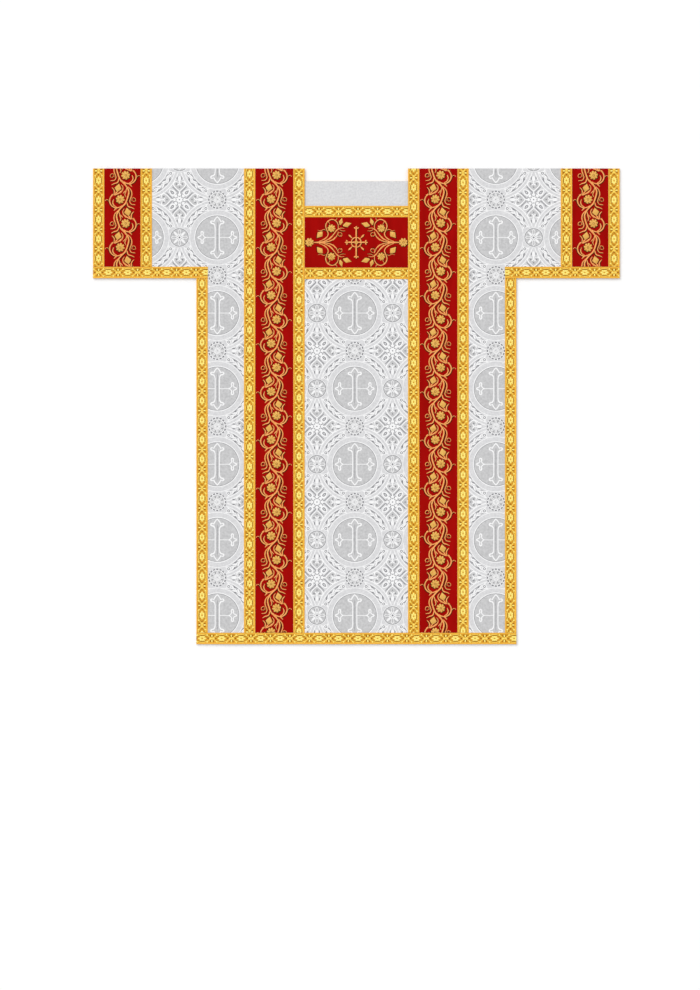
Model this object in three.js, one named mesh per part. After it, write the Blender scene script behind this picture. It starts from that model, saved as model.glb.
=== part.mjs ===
// A tunicle laid flat, front up: a T-shaped vestment of white damask with red orphrey bands and gold galloon.
// Millimetres, +Z up. The origin is under the middle of the garment, on the surface that it lies on.
// +Y runs from the hem to the shoulders and +X to the right of someone looking down at the front.
import * as THREE from "three";

// ---- Driving dimensions ----
const LENGTH = 1070; // shoulder line to hem
const SPAN = 1185; // cuff to cuff
const BODY_WIDTH = 720;
const SLEEVE_DEPTH = 247; // shoulder line to the underarm seam
const NECK_WIDTH = 232;
const FRONT_NECK_DROP = 84;
const BACK_NECK_DROP = 28;
const GALLOON_WIDTH = 26;
const CLAVUS_WIDTH = 137; // a red band down the body, with the galloon on both of its edges
const SLEEVE_BAND_WIDTH = 133; // the same round a sleeve
const CROSS_BAND_DEPTH = 113; // the red of the cross band, between its galloons

const CLOTH = 1.6; // damask with its interlining
const TRIM = 1.2; // a galloon, and every trim on the back
const BAND = 1; // a red band, a little thinner than the galloon beside it
const SEAM_GAP = 0.3; // between pieces that are sewn together
const STEP_RUN = 3; // the back cloth climbs over a trim within this distance
const SEAM_ROLL = 10; // the back cloth turns up along the shoulder seam over this width
const STATION = 45; // the longest stretch between two stations of the front cloth

// ---- Places worked out from them ----
const SHOULDER_Y = LENGTH / 2;
const HEM_Y = -LENGTH / 2;
const CUFF_X = SPAN / 2;
const SIDE_X = BODY_WIDTH / 2;
const NECK_X = NECK_WIDTH / 2;
const UNDERARM_Y = SHOULDER_Y - SLEEVE_DEPTH;
const PANEL_SEAM_X = NECK_X + CLAVUS_WIDTH / 2; // the seams between the panels run under the middle of the clavi
const LIFT = TRIM + SEAM_GAP; // the back cloth over the trims that it lies on
const FRONT_BASE = LIFT + CLOTH + SEAM_GAP; // the lowest underside of the front cloth

// Soft swells of the front cloth. x, y: the middle; along, across: how far each fades out; turn: its heading in
// degrees from +X; height: at the middle.
const SWELLS = [
  { x: -20, y: -330, along: 300, across: 80, turn: 84, height: 1.3 },
  { x: 85, y: 60, along: 260, across: 70, turn: 97, height: 1.0 },
  { x: -90, y: 120, along: 220, across: 60, turn: 80, height: 0.8 },
  { x: -285, y: -350, along: 260, across: 55, turn: 95, height: 1.4 },
  { x: -300, y: 40, along: 230, across: 50, turn: 86, height: 0.9 },
  { x: 290, y: -280, along: 290, across: 55, turn: 85, height: 1.3 },
  { x: 305, y: 90, along: 200, across: 50, turn: 94, height: 1.0 },
  { x: 150, y: -470, along: 150, across: 60, turn: 88, height: 0.9 },
  { x: -470, y: 420, along: 190, across: 60, turn: 12, height: 1.1 },
  { x: 480, y: 415, along: 190, across: 60, turn: -10, height: 1.2 },
  { x: -250, y: 390, along: 130, across: 60, turn: 40, height: 0.8 },
  { x: 255, y: 385, along: 130, across: 60, turn: -38, height: 0.8 },
];
const MOST_SWELL = 2;
const SEAM_FADE = 60; // the swells fade out this near a closed seam

const smooth = (t) => {
  const u = Math.min(Math.max(t, 0), 1);
  return u * u * (3 - 2 * u);
};

// How far (x, y) is from the nearest seam that joins the front to the back: shoulder, underarm or side.
function seamDistance(x, y) {
  const shoulder = SHOULDER_Y - y;
  const armhole = Math.hypot(Math.max(SIDE_X - Math.abs(x), 0), Math.max(y - UNDERARM_Y, 0));
  return Math.max(Math.min(shoulder, armhole), 0);
}

// How far the front cloth rises over its lowest place at (x, y).
function swell(x, y) {
  let rise = 0;
  for (const s of SWELLS) {
    const turn = THREE.MathUtils.degToRad(s.turn);
    const along = ((x - s.x) * Math.cos(turn) + (y - s.y) * Math.sin(turn)) / s.along;
    const across = ((y - s.y) * Math.cos(turn) - (x - s.x) * Math.sin(turn)) / s.across;
    rise += s.height * Math.exp(-along * along - across * across);
  }
  return Math.min(rise, MOST_SWELL) * smooth(seamDistance(x, y) / SEAM_FADE);
}

const frontUnder = (x, y) => FRONT_BASE + swell(x, y);
const frontOver = (x, y) => frontUnder(x, y) + CLOTH;

// ---- Outlines: a piece is one or more rectangles that share their edges ----
const rect = (x0, x1, y0, y1) => ({ x0: Math.min(x0, x1), x1: Math.max(x0, x1), y0, y1 });
const mirrored = (r, side) => rect(side * r.x0, side * r.x1, r.y0, r.y1);
const holds = (r, x, y, margin = 0) =>
  x >= r.x0 - margin && x <= r.x1 + margin && y >= r.y0 - margin && y <= r.y1 + margin;

const centrePanel = (neckDrop) => [
  rect(-PANEL_SEAM_X, PANEL_SEAM_X, HEM_Y, SHOULDER_Y - neckDrop),
  rect(-PANEL_SEAM_X, -NECK_X, SHOULDER_Y - neckDrop, SHOULDER_Y),
  rect(NECK_X, PANEL_SEAM_X, SHOULDER_Y - neckDrop, SHOULDER_Y),
];
const sidePanel = (side) =>
  [
    rect(PANEL_SEAM_X, SIDE_X, HEM_Y, UNDERARM_Y),
    rect(PANEL_SEAM_X, CUFF_X, UNDERARM_Y, SHOULDER_Y),
  ].map((r) => mirrored(r, side));

const SIDES = [
  { name: "left", side: -1 },
  { name: "right", side: 1 },
];

// The trims of the front or the back: what each is made of, its name and its outline.
function trims(neckDrop) {
  const neck = SHOULDER_Y - neckDrop;
  const bandTop = neck - GALLOON_WIDTH;
  const bandFoot = bandTop - CROSS_BAND_DEPTH;
  const hemTop = HEM_Y + GALLOON_WIDTH;
  const underarmTop = UNDERARM_Y + GALLOON_WIDTH;
  const found = [
    { kind: "galloon", name: "hem_galloon", outline: rect(-SIDE_X, SIDE_X, HEM_Y, hemTop) },
    { kind: "galloon", name: "neck_galloon", outline: rect(-NECK_X, NECK_X, bandTop, neck) },
    { kind: "band", name: "cross_band", outline: rect(-NECK_X, NECK_X, bandFoot, bandTop) },
    {
      kind: "galloon",
      name: "cross_band_galloon",
      outline: rect(-NECK_X, NECK_X, bandFoot - GALLOON_WIDTH, bandFoot),
    },
  ];
  for (const { name, side } of SIDES) {
    // An orphrey runs up from foot to the shoulder, between two galloons.
    const orphrey = (label, inner, outer, foot) => {
      const bandInner = inner + GALLOON_WIDTH;
      const bandOuter = outer - GALLOON_WIDTH;
      const strips = [
        { kind: "band", part: "", x0: bandInner, x1: bandOuter },
        { kind: "galloon", part: "_galloon_inner", x0: inner, x1: bandInner },
        { kind: "galloon", part: "_galloon_outer", x0: bandOuter, x1: outer },
      ];
      for (const s of strips)
        found.push({
          kind: s.kind,
          name: `${label}_${name}${s.part}`,
          outline: mirrored(rect(s.x0, s.x1, foot, SHOULDER_Y), side),
        });
    };
    orphrey("clavus", NECK_X, NECK_X + CLAVUS_WIDTH, hemTop);
    orphrey("sleeve_band", CUFF_X - SLEEVE_BAND_WIDTH, CUFF_X, underarmTop);
    found.push({
      kind: "galloon",
      name: `underarm_galloon_${name}`,
      outline: mirrored(rect(SIDE_X - GALLOON_WIDTH, CUFF_X, UNDERARM_Y, underarmTop), side),
    });
    found.push({
      kind: "galloon",
      name: `side_galloon_${name}`,
      outline: mirrored(rect(SIDE_X - GALLOON_WIDTH, SIDE_X, hemTop, UNDERARM_Y), side),
    });
  }
  return found;
}

const FRONT_TRIMS = trims(FRONT_NECK_DROP);
const BACK_TRIMS = trims(BACK_NECK_DROP);

// ---- Stations: the lines across the garment where its pieces have their points ----
const sorted = (values) =>
  [...values].sort((a, b) => a - b).filter((v, i, all) => i === 0 || v - all[i - 1] > 1e-6);

// The lines again, with more of them between, so that none are further apart than the longest stretch.
function filled(lines, longest) {
  const out = [lines[0]];
  for (let i = 1; i < lines.length; i++) {
    const from = lines[i - 1];
    const steps = Math.ceil((lines[i] - from) / longest);
    for (let k = 1; k <= steps; k++) out.push(from + ((lines[i] - from) * k) / steps);
  }
  return out;
}

const panelLines = (neckDrop) => ({
  xs: [PANEL_SEAM_X, NECK_X, SIDE_X, CUFF_X].flatMap((x) => [-x, x]),
  ys: [HEM_Y, UNDERARM_Y, SHOULDER_Y - neckDrop, SHOULDER_Y],
});

function frontStations() {
  const { xs, ys } = panelLines(FRONT_NECK_DROP);
  const outlines = FRONT_TRIMS.map((t) => t.outline);
  return {
    xs: filled(sorted([...xs, 0, ...outlines.flatMap((r) => [r.x0, r.x1])]), STATION),
    ys: filled(sorted([...ys, ...outlines.flatMap((r) => [r.y0, r.y1])]), STATION),
  };
}

// The back lies flat, so it needs lines only where it climbs over a trim.
function backStations() {
  const { xs, ys } = panelLines(BACK_NECK_DROP);
  const near = [SEAM_GAP, SEAM_GAP + STEP_RUN];
  const around = (lo, hi) => near.flatMap((d) => [lo - d, hi + d]);
  const inside = (v, limit) => Math.abs(v) < limit - SEAM_GAP;
  const roll = SHOULDER_Y - SEAM_ROLL;
  return {
    xs: sorted([...xs, ...BACK_TRIMS.flatMap((t) => around(t.outline.x0, t.outline.x1))]).filter(
      (x) => inside(x, CUFF_X) || Math.abs(x) === CUFF_X,
    ),
    ys: sorted([
      ...ys,
      roll,
      roll - STEP_RUN,
      ...BACK_TRIMS.flatMap((t) => around(t.outline.y0, t.outline.y1)),
    ]).filter((y) => inside(y, SHOULDER_Y) || Math.abs(y) === SHOULDER_Y),
  };
}

// The underside of the back cloth: on the surface, or over a trim or the roll of the shoulder seam.
function backUnder(x, y) {
  const onTrim = BACK_TRIMS.some((t) => holds(t.outline, x, y, SEAM_GAP + 1e-6));
  return onTrim || y >= SHOULDER_Y - SEAM_ROLL - 1e-6 ? LIFT : 0;
}
const backOver = (x, y) => backUnder(x, y) + CLOTH;

// ---- A wall of cloth or trim ----
// Closed wall over the stations inside the outline's rectangles, between the heights under(x, y) and over(x, y).
// Its rim is drawn in by half a seam gap, so that neighbours stand a whole gap apart.
function wall(outline, stations, under, over) {
  const rects = Array.isArray(outline) ? outline : [outline];
  const { xs, ys } = stations;
  const kept = (i, j) => {
    if (i < 0 || j < 0 || i >= xs.length - 1 || j >= ys.length - 1) return false;
    const x = (xs[i] + xs[i + 1]) / 2;
    const y = (ys[j] + ys[j + 1]) / 2;
    return rects.some((r) => holds(r, x, y));
  };
  // +1 where only the cells on the greater side of the line are kept, -1 where only those on the lesser side are.
  const drawnIn = (i, j, alongX) => {
    const lesser = alongX ? kept(i - 1, j) || kept(i - 1, j - 1) : kept(i, j - 1) || kept(i - 1, j - 1);
    const greater = alongX ? kept(i, j) || kept(i, j - 1) : kept(i, j) || kept(i - 1, j);
    return (greater ? 1 : 0) - (lesser ? 1 : 0);
  };
  const points = [];
  const numbers = new Map();
  const point = (i, j, level) => {
    const key = `${i},${j},${level}`;
    if (!numbers.has(key)) {
      numbers.set(key, points.length / 3);
      const [x, y] = [xs[i], ys[j]];
      const z = level ? over(x, y) : under(x, y);
      points.push(
        x + (drawnIn(i, j, true) * SEAM_GAP) / 2,
        y + (drawnIn(i, j, false) * SEAM_GAP) / 2,
        z,
      );
    }
    return numbers.get(key);
  };
  const triangles = [];
  const quad = (a, b, c, d) => triangles.push(a, b, c, a, c, d);
  for (let i = 0; i < xs.length - 1; i++)
    for (let j = 0; j < ys.length - 1; j++) {
      if (!kept(i, j)) continue;
      const corner = (di, dj, level) => point(i + di, j + dj, level);
      quad(corner(0, 0, 1), corner(1, 0, 1), corner(1, 1, 1), corner(0, 1, 1));
      quad(corner(0, 0, 0), corner(0, 1, 0), corner(1, 1, 0), corner(1, 0, 0));
      const rim = [
        { free: !kept(i, j - 1), from: [0, 0], to: [1, 0] },
        { free: !kept(i + 1, j), from: [1, 0], to: [1, 1] },
        { free: !kept(i, j + 1), from: [1, 1], to: [0, 1] },
        { free: !kept(i - 1, j), from: [0, 1], to: [0, 0] },
      ];
      for (const { free, from, to } of rim)
        if (free) quad(corner(...from, 0), corner(...to, 0), corner(...to, 1), corner(...from, 1));
    }
  const geometry = new THREE.BufferGeometry();
  geometry.setAttribute("position", new THREE.Float32BufferAttribute(points, 3));
  geometry.setIndex(triangles);
  geometry.computeVertexNormals();
  return geometry;
}

// ---- Materials ----
const MATERIALS = {
  damask: { color: 0xe9e9ea, roughness: 0.62, metalness: 0 },
  band: { color: 0xa90a0c, roughness: 0.7, metalness: 0 },
  galloon: { color: 0xe9b233, roughness: 0.42, metalness: 0.35 },
};
const material = (name) => new THREE.MeshStandardMaterial({ name, ...MATERIALS[name] });

function piece(name, materialName, geometry) {
  const mesh = new THREE.Mesh(geometry, material(materialName));
  mesh.name = name;
  return mesh;
}

// ---- The garment ----
function panels(layer, neckDrop, stations, under, over) {
  const group = new THREE.Group();
  group.add(
    piece(`${layer}_centre_panel`, "damask", wall(centrePanel(neckDrop), stations, under, over)),
  );
  for (const { name, side } of SIDES)
    group.add(
      piece(`${layer}_side_panel_${name}`, "damask", wall(sidePanel(side), stations, under, over)),
    );
  return group;
}

// The front's trims lie on its cloth, and follow it.
function frontTrims(stations) {
  const group = new THREE.Group();
  for (const t of FRONT_TRIMS) {
    const under = (x, y) => frontOver(x, y) + SEAM_GAP;
    const thick = t.kind === "band" ? BAND : TRIM;
    const over = (x, y) => under(x, y) + thick;
    group.add(piece(`front_${t.name}`, t.kind, wall(t.outline, stations, under, over)));
  }
  return group;
}

// The back's trims lie flat on the surface, level with the cloth beside them.
function backTrims() {
  const group = new THREE.Group();
  for (const t of BACK_TRIMS) {
    const corners = { xs: [t.outline.x0, t.outline.x1], ys: [t.outline.y0, t.outline.y1] };
    group.add(piece(`back_${t.name}`, t.kind, wall(t.outline, corners, () => 0, () => TRIM)));
  }
  return group;
}

const tunicle = new THREE.Group();
const front = frontStations();
tunicle.add(panels("front", FRONT_NECK_DROP, front, frontUnder, frontOver));
tunicle.add(frontTrims(front));
tunicle.add(panels("back", BACK_NECK_DROP, backStations(), backUnder, backOver));
tunicle.add(backTrims());

export default tunicle;
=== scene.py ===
"""Dresses a flat-laid tunicle: figured damask, gold galloon, red orphreys and raised embroidery.

Everything is planned in millimetres, in the row's frame: +X from cuff to cuff, +Y from the hem to the
shoulders and +Z out of the front. A patch turns into metres only when it becomes a Blender mesh.
"""

import logging
import math
from collections.abc import Callable, Iterable, Sequence
from dataclasses import dataclass, field
from enum import Enum, IntEnum

import bmesh
import bpy
import numpy as np
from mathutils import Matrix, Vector
from mathutils.geometry import delaunay_2d_cdt


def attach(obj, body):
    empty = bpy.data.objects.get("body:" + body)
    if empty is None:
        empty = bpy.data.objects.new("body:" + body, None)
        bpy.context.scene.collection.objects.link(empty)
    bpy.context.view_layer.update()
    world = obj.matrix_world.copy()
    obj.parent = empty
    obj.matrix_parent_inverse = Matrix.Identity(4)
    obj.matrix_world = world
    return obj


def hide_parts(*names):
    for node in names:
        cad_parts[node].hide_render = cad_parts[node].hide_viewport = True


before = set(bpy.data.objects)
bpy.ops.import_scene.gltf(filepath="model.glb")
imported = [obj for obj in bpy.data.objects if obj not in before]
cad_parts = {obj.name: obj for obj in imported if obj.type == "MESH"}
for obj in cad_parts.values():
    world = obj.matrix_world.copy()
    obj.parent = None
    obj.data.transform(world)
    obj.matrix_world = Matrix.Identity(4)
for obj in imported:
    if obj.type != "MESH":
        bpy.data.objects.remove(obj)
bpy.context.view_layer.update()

log = logging.getLogger("tunicle")

MM = 0.001
Array = np.ndarray
HeightOf = Callable[[Array, Array], Array]
Point = tuple[float, float]

# ----------------------------------------------------------------------
# Sizes of the garment
# ----------------------------------------------------------------------


@dataclass(frozen=True)
class Cut:
    """The garment's sizes, in millimetres."""

    length: float = 1070.0
    span: float = 1185.0
    body_width: float = 720.0
    sleeve_depth: float = 247.0
    neck_width: float = 232.0
    front_neck_drop: float = 84.0
    back_neck_drop: float = 28.0
    galloon_width: float = 26.0
    clavus_width: float = 137.0
    sleeve_band_width: float = 133.0
    cross_band_depth: float = 113.0
    cloth: float = 1.6
    trim: float = 1.2
    band: float = 1.0
    seam_gap: float = 0.3
    seam_roll: float = 10.0

    @property
    def shoulder(self) -> float:
        """The height of the shoulder line, along Y."""
        return self.length / 2

    @property
    def hem(self) -> float:
        """The place of the hem, along Y."""
        return -self.length / 2

    @property
    def cuff(self) -> float:
        """Half of the span."""
        return self.span / 2

    @property
    def side(self) -> float:
        """Half of the body's width."""
        return self.body_width / 2

    @property
    def neck(self) -> float:
        """Half of the neck's width."""
        return self.neck_width / 2

    @property
    def underarm(self) -> float:
        """The place of the underarm seam, along Y."""
        return self.shoulder - self.sleeve_depth

    @property
    def panel_seam(self) -> float:
        """How far the seams between the panels are from the middle."""
        return self.neck + self.clavus_width / 2

    @property
    def rim(self) -> float:
        """How far each piece stops short of the seam that it ends at."""
        return self.seam_gap / 2

    @property
    def lift(self) -> float:
        """The back cloth's underside where it lies on a trim."""
        return self.trim + self.seam_gap

    @property
    def front_base(self) -> float:
        """The lowest underside of the front cloth."""
        return self.lift + self.cloth + self.seam_gap


CUT = Cut()


@dataclass(frozen=True)
class Rect:
    """A rectangle seen from above, in millimetres."""

    x0: float
    x1: float
    y0: float
    y1: float

    def holds(self, x: Array, y: Array) -> Array:
        """Whether each point is in the rectangle."""
        return (x >= self.x0) & (x <= self.x1) & (y >= self.y0) & (y <= self.y1)

    def meets(self, other: "Rect") -> bool:
        """Whether two rectangles overlap."""
        return self.x1 > other.x0 and self.x0 < other.x1 and self.y1 > other.y0 and self.y0 < other.y1

    def on_side(self, side: int) -> "Rect":
        """The same rectangle on the wearer's other side where side is -1."""
        ends = sorted((side * self.x0, side * self.x1))
        return Rect(ends[0], ends[1], self.y0, self.y1)


def around(rects: Sequence[Rect]) -> Rect:
    """The rectangle round several."""
    return Rect(
        min(r.x0 for r in rects), max(r.x1 for r in rects), min(r.y0 for r in rects), max(r.y1 for r in rects)
    )


class Side(IntEnum):
    """Which half of the garment, seen from above."""

    LEFT = -1
    RIGHT = 1

    @property
    def word(self) -> str:
        """The side's name in the names of nodes."""
        return self.name.lower()


# ----------------------------------------------------------------------
# How the cloth lies
# ----------------------------------------------------------------------


@dataclass(frozen=True)
class Swell:
    """A soft swell of the front cloth.

    x and y are its middle, along and across how far it fades out, turn its heading in degrees from +X and
    height how high it is at the middle.
    """

    x: float
    y: float
    along: float
    across: float
    turn: float
    height: float

    def rise(self, x: Array, y: Array) -> Array:
        """How far the swell lifts the cloth at each point."""
        c, s = math.cos(math.radians(self.turn)), math.sin(math.radians(self.turn))
        along = ((x - self.x) * c + (y - self.y) * s) / self.along
        across = ((y - self.y) * c - (x - self.x) * s) / self.across
        return self.height * np.exp(-(along**2) - across**2)


SWELLS = (
    Swell(-20, -330, 300, 80, 84, 1.3),
    Swell(85, 60, 260, 70, 97, 1.0),
    Swell(-90, 120, 220, 60, 80, 0.8),
    Swell(-285, -350, 260, 55, 95, 1.4),
    Swell(-300, 40, 230, 50, 86, 0.9),
    Swell(290, -280, 290, 55, 85, 1.3),
    Swell(305, 90, 200, 50, 94, 1.0),
    Swell(150, -470, 150, 60, 88, 0.9),
    Swell(-470, 420, 190, 60, 12, 1.1),
    Swell(480, 415, 190, 60, -10, 1.2),
    Swell(-250, 390, 130, 60, 40, 0.8),
    Swell(255, 385, 130, 60, -38, 0.8),
)
MOST_SWELL = 2.0
SEAM_FADE = 60.0  # how far from a sewn edge the swells reach their full height


def smooth(t: Array) -> Array:
    """A soft step from 0 to 1 as t goes from 0 to 1."""
    u = np.clip(t, 0, 1)
    return u * u * (3 - 2 * u)


def swell(x: Array, y: Array) -> Array:
    """How far the front cloth rises over its lowest place at each point."""
    rise = np.minimum(sum(s.rise(x, y) for s in SWELLS), MOST_SWELL)
    armhole = np.hypot(np.maximum(CUT.side - np.abs(x), 0), np.maximum(y - CUT.underarm, 0))
    to_seam = np.maximum(np.minimum(CUT.shoulder - y, armhole), 0)
    return rise * smooth(to_seam / SEAM_FADE)


def front_under(x: Array, y: Array) -> Array:
    """The underside of the front cloth."""
    return CUT.front_base + swell(x, y)


def front_over(x: Array, y: Array) -> Array:
    """The face of the front cloth."""
    return front_under(x, y) + CUT.cloth


def level(height: float) -> HeightOf:
    """A flat surface at one height."""
    return lambda x, y: np.full(np.shape(x), float(height))


# ----------------------------------------------------------------------
# Patches: meshes in the making
# ----------------------------------------------------------------------


@dataclass
class Patch:
    """Points in millimetres, triangles between them, and the number of each triangle's finish."""

    points: Array
    triangles: Array
    finish: Array

    def moved(self, by: Sequence[float]) -> "Patch":
        """The patch, shifted."""
        return Patch(self.points + np.asarray(by, float), self.triangles, self.finish)

    def mirrored(self, axis: int) -> "Patch":
        """The patch, mirrored along an axis, with its faces still pointing out."""
        points = self.points.copy()
        points[:, axis] *= -1
        return Patch(points, self.triangles[:, ::-1], self.finish)

    def turned(self, degrees: float) -> "Patch":
        """The patch, turned about +Z."""
        c, s = math.cos(math.radians(degrees)), math.sin(math.radians(degrees))
        turn = np.array([[c, s, 0], [-s, c, 0], [0, 0, 1]])
        return Patch(self.points @ turn, self.triangles, self.finish)

    def flattened(self, share: float) -> "Patch":
        """The patch, with its heights made a share of what they were."""
        return Patch(self.points * (1, 1, share), self.triangles, self.finish)

    def laid_on(self, floor: HeightOf) -> "Patch":
        """The patch, with its heights measured from a surface."""
        points = self.points.copy()
        points[:, 2] += floor(points[:, 0], points[:, 1])
        return Patch(points, self.triangles, self.finish)

    def welded(self, near: float = 1e-3) -> "Patch":
        """The patch with the points that fall together made one."""
        _, first, number = np.unique(
            np.round(self.points / near).astype(np.int64), axis=0, return_index=True, return_inverse=True
        )
        triangles = number.reshape(-1)[self.triangles]
        a, b, c = triangles.T
        real = (a != b) & (b != c) & (c != a)
        return Patch(self.points[first], triangles[real], self.finish[real])


def joined(patches: Iterable[Patch]) -> Patch:
    """One patch of several."""
    several = list(patches)
    starts = np.cumsum([0] + [len(p.points) for p in several[:-1]])
    return Patch(
        np.concatenate([p.points for p in several]),
        np.concatenate([p.triangles + start for p, start in zip(several, starts)]),
        np.concatenate([p.finish for p in several]),
    )


def mesh_of(patch: Patch, kept: Array) -> bmesh.types.BMesh:
    """An editable mesh of the triangles that a mask keeps."""
    mesh = bmesh.new()
    triangles = patch.triangles[kept]
    verts = {int(i): mesh.verts.new(patch.points[i]) for i in np.unique(triangles)}
    for triangle, finish in zip(triangles, patch.finish[kept]):
        mesh.faces.new([verts[int(i)] for i in triangle]).material_index = int(finish)
    return mesh


def taken_from(mesh: bmesh.types.BMesh) -> Patch:
    """Turns a mesh of triangles into a patch, and frees the mesh."""
    loose = [v for v in mesh.verts if not v.link_faces]
    bmesh.ops.delete(mesh, geom=loose, context="VERTS")
    mesh.verts.index_update()
    points = np.array([v.co[:] for v in mesh.verts], float)
    triangles = np.array([[v.index for v in f.verts] for f in mesh.faces], np.int64)
    finish = np.array([f.material_index for f in mesh.faces], np.int64)
    mesh.free()
    return Patch(points, triangles, finish)


def plane(axis: int, limit: float, facing: float = 1.0) -> dict[str, list[float]]:
    """A plane across an axis, as the mesh editor's bisection takes it."""
    place, normal = [0.0, 0.0, 0.0], [0.0, 0.0, 0.0]
    place[axis], normal[axis] = limit, float(facing)
    return {"plane_co": place, "plane_no": normal}


def cut_flat(patch: Patch, axis: int, limit: float, keep: int) -> Patch:
    """Cuts a patch of closed bodies with a plane across an axis, and closes the cut.

    Args:
        patch: what is cut.
        axis: the axis that the plane is across.
        limit: where the plane is.
        keep: 1 keeps what is past the plane and -1 what is before it.

    Returns:
        What is kept, in triangles.
    """
    beyond = keep * (patch.points[:, axis] - limit)
    if beyond.min() >= 0:
        return patch
    mesh = mesh_of(patch, beyond[patch.triangles].max(1) > 0)
    geometry = [*mesh.verts, *mesh.edges, *mesh.faces]
    side = plane(axis, limit, -keep)
    found = bmesh.ops.bisect_plane(mesh, geom=geometry, dist=1e-5, clear_outer=True, **side)
    rim = [e for e in found["geom_cut"] if isinstance(e, bmesh.types.BMEdge) and e.is_boundary]
    bmesh.ops.holes_fill(mesh, edges=rim, sides=0)
    bmesh.ops.triangulate(mesh, faces=mesh.faces[:])
    return taken_from(mesh)


def clipped(patch: Patch, rects: Sequence[Rect]) -> Patch:
    """Trims an open sheet to the outline that some rectangles make together.

    Args:
        patch: the sheet.
        rects: rectangles that share edges.

    Returns:
        What of the sheet is inside them, in triangles.
    """
    box = around(rects)
    corners = patch.points[patch.triangles]
    low, high = corners.min(1), corners.max(1)
    near = (high[:, 0] > box.x0) & (low[:, 0] < box.x1) & (high[:, 1] > box.y0) & (low[:, 1] < box.y1)
    mesh = mesh_of(patch, near)
    lines = [(0, v) for r in rects for v in (r.x0, r.x1)] + [(1, v) for r in rects for v in (r.y0, r.y1)]
    for axis, limit in sorted(set(lines)):
        crossed = [f for f in mesh.faces if straddles(f, axis, limit)]
        parts = {e for f in crossed for e in f.edges} | {v for f in crossed for v in f.verts}
        bmesh.ops.bisect_plane(mesh, geom=[*crossed, *parts], dist=1e-4, **plane(axis, limit))
    outside = []
    for face in mesh.faces:
        middle = face.calc_center_median()
        if not any(r.holds(middle.x, middle.y) for r in rects):
            outside.append(face)
    bmesh.ops.delete(mesh, geom=outside, context="FACES")
    bmesh.ops.triangulate(mesh, faces=mesh.faces[:])
    return taken_from(mesh)


def straddles(face: bmesh.types.BMFace, axis: int, limit: float) -> bool:
    """Whether a face reaches both sides of a line."""
    places = [v.co[axis] for v in face.verts]
    return min(places) < limit < max(places)


def rim_of(triangles: Array) -> Array:
    """The edges of an open sheet's rim, each with its face on the left."""
    edges = np.concatenate([triangles[:, [0, 1]], triangles[:, [1, 2]], triangles[:, [2, 0]]])
    low, high = edges.min(1), edges.max(1)
    _, first, count = np.unique(low * (edges.max() + 1) + high, return_index=True, return_counts=True)
    return edges[first[count == 1]]


UNDER_SPACING = 40.0  # how far apart an underside's inner points are


def backed(sheet: Patch, under: HeightOf, finish: int) -> Patch:
    """Closes an open sheet with walls round its rim and a coarse underside.

    Args:
        sheet: the face, with its heights final.
        under: the height of the underside.
        finish: the finish of the walls and the underside.

    Returns:
        A closed wall of cloth.
    """
    rim = rim_of(sheet.triangles)
    ring, local = np.unique(rim, return_inverse=True)
    local = local.reshape(-1, 2)
    flat = sheet.points[ring][:, :2]
    low, high = flat.min(0), flat.max(0)
    inner = [
        (x, y)
        for x in np.arange(low[0] + UNDER_SPACING / 2, high[0], UNDER_SPACING)
        for y in np.arange(low[1] + UNDER_SPACING / 2, high[1], UNDER_SPACING)
    ]
    coords = [Vector(p) for p in flat] + [Vector(p) for p in inner]
    found = delaunay_2d_cdt(coords, [tuple(map(int, e)) for e in local], [], 1, 1e-5)
    points = np.array([p[:] for p in found[0]], float)
    faces = np.array([f for f in found[2] if len(f) == 3], np.int64)
    source = [min(ids) if ids else -1 for ids in found[3]]
    bottom = np.column_stack([points, under(points[:, 0], points[:, 1])])
    start = len(sheet.points)
    below = {old: start + new for new, old in enumerate(source) if 0 <= old < len(ring)}
    walls = []
    for a, b in rim:
        ia, ib = np.searchsorted(ring, (a, b))
        walls += [(b, a, below[ia]), (b, below[ia], below[ib])]
    triangles = np.concatenate([sheet.triangles, np.array(walls), faces[:, ::-1] + start])
    extra = np.full(len(triangles) - len(sheet.triangles), finish)
    return Patch(np.concatenate([sheet.points, bottom]), triangles, np.concatenate([sheet.finish, extra]))


def filled(lines: Iterable[float], longest: float) -> list[float]:
    """Lines with more of them between, so that none are further apart than the longest stretch."""
    given = sorted(set(lines))
    out = [given[0]]
    for start, end in zip(given, given[1:]):
        if end - start < 1e-6:
            continue
        steps = math.ceil((end - start) / longest)
        out += [start + (end - start) * k / steps for k in range(1, steps + 1)]
    return out


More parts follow.
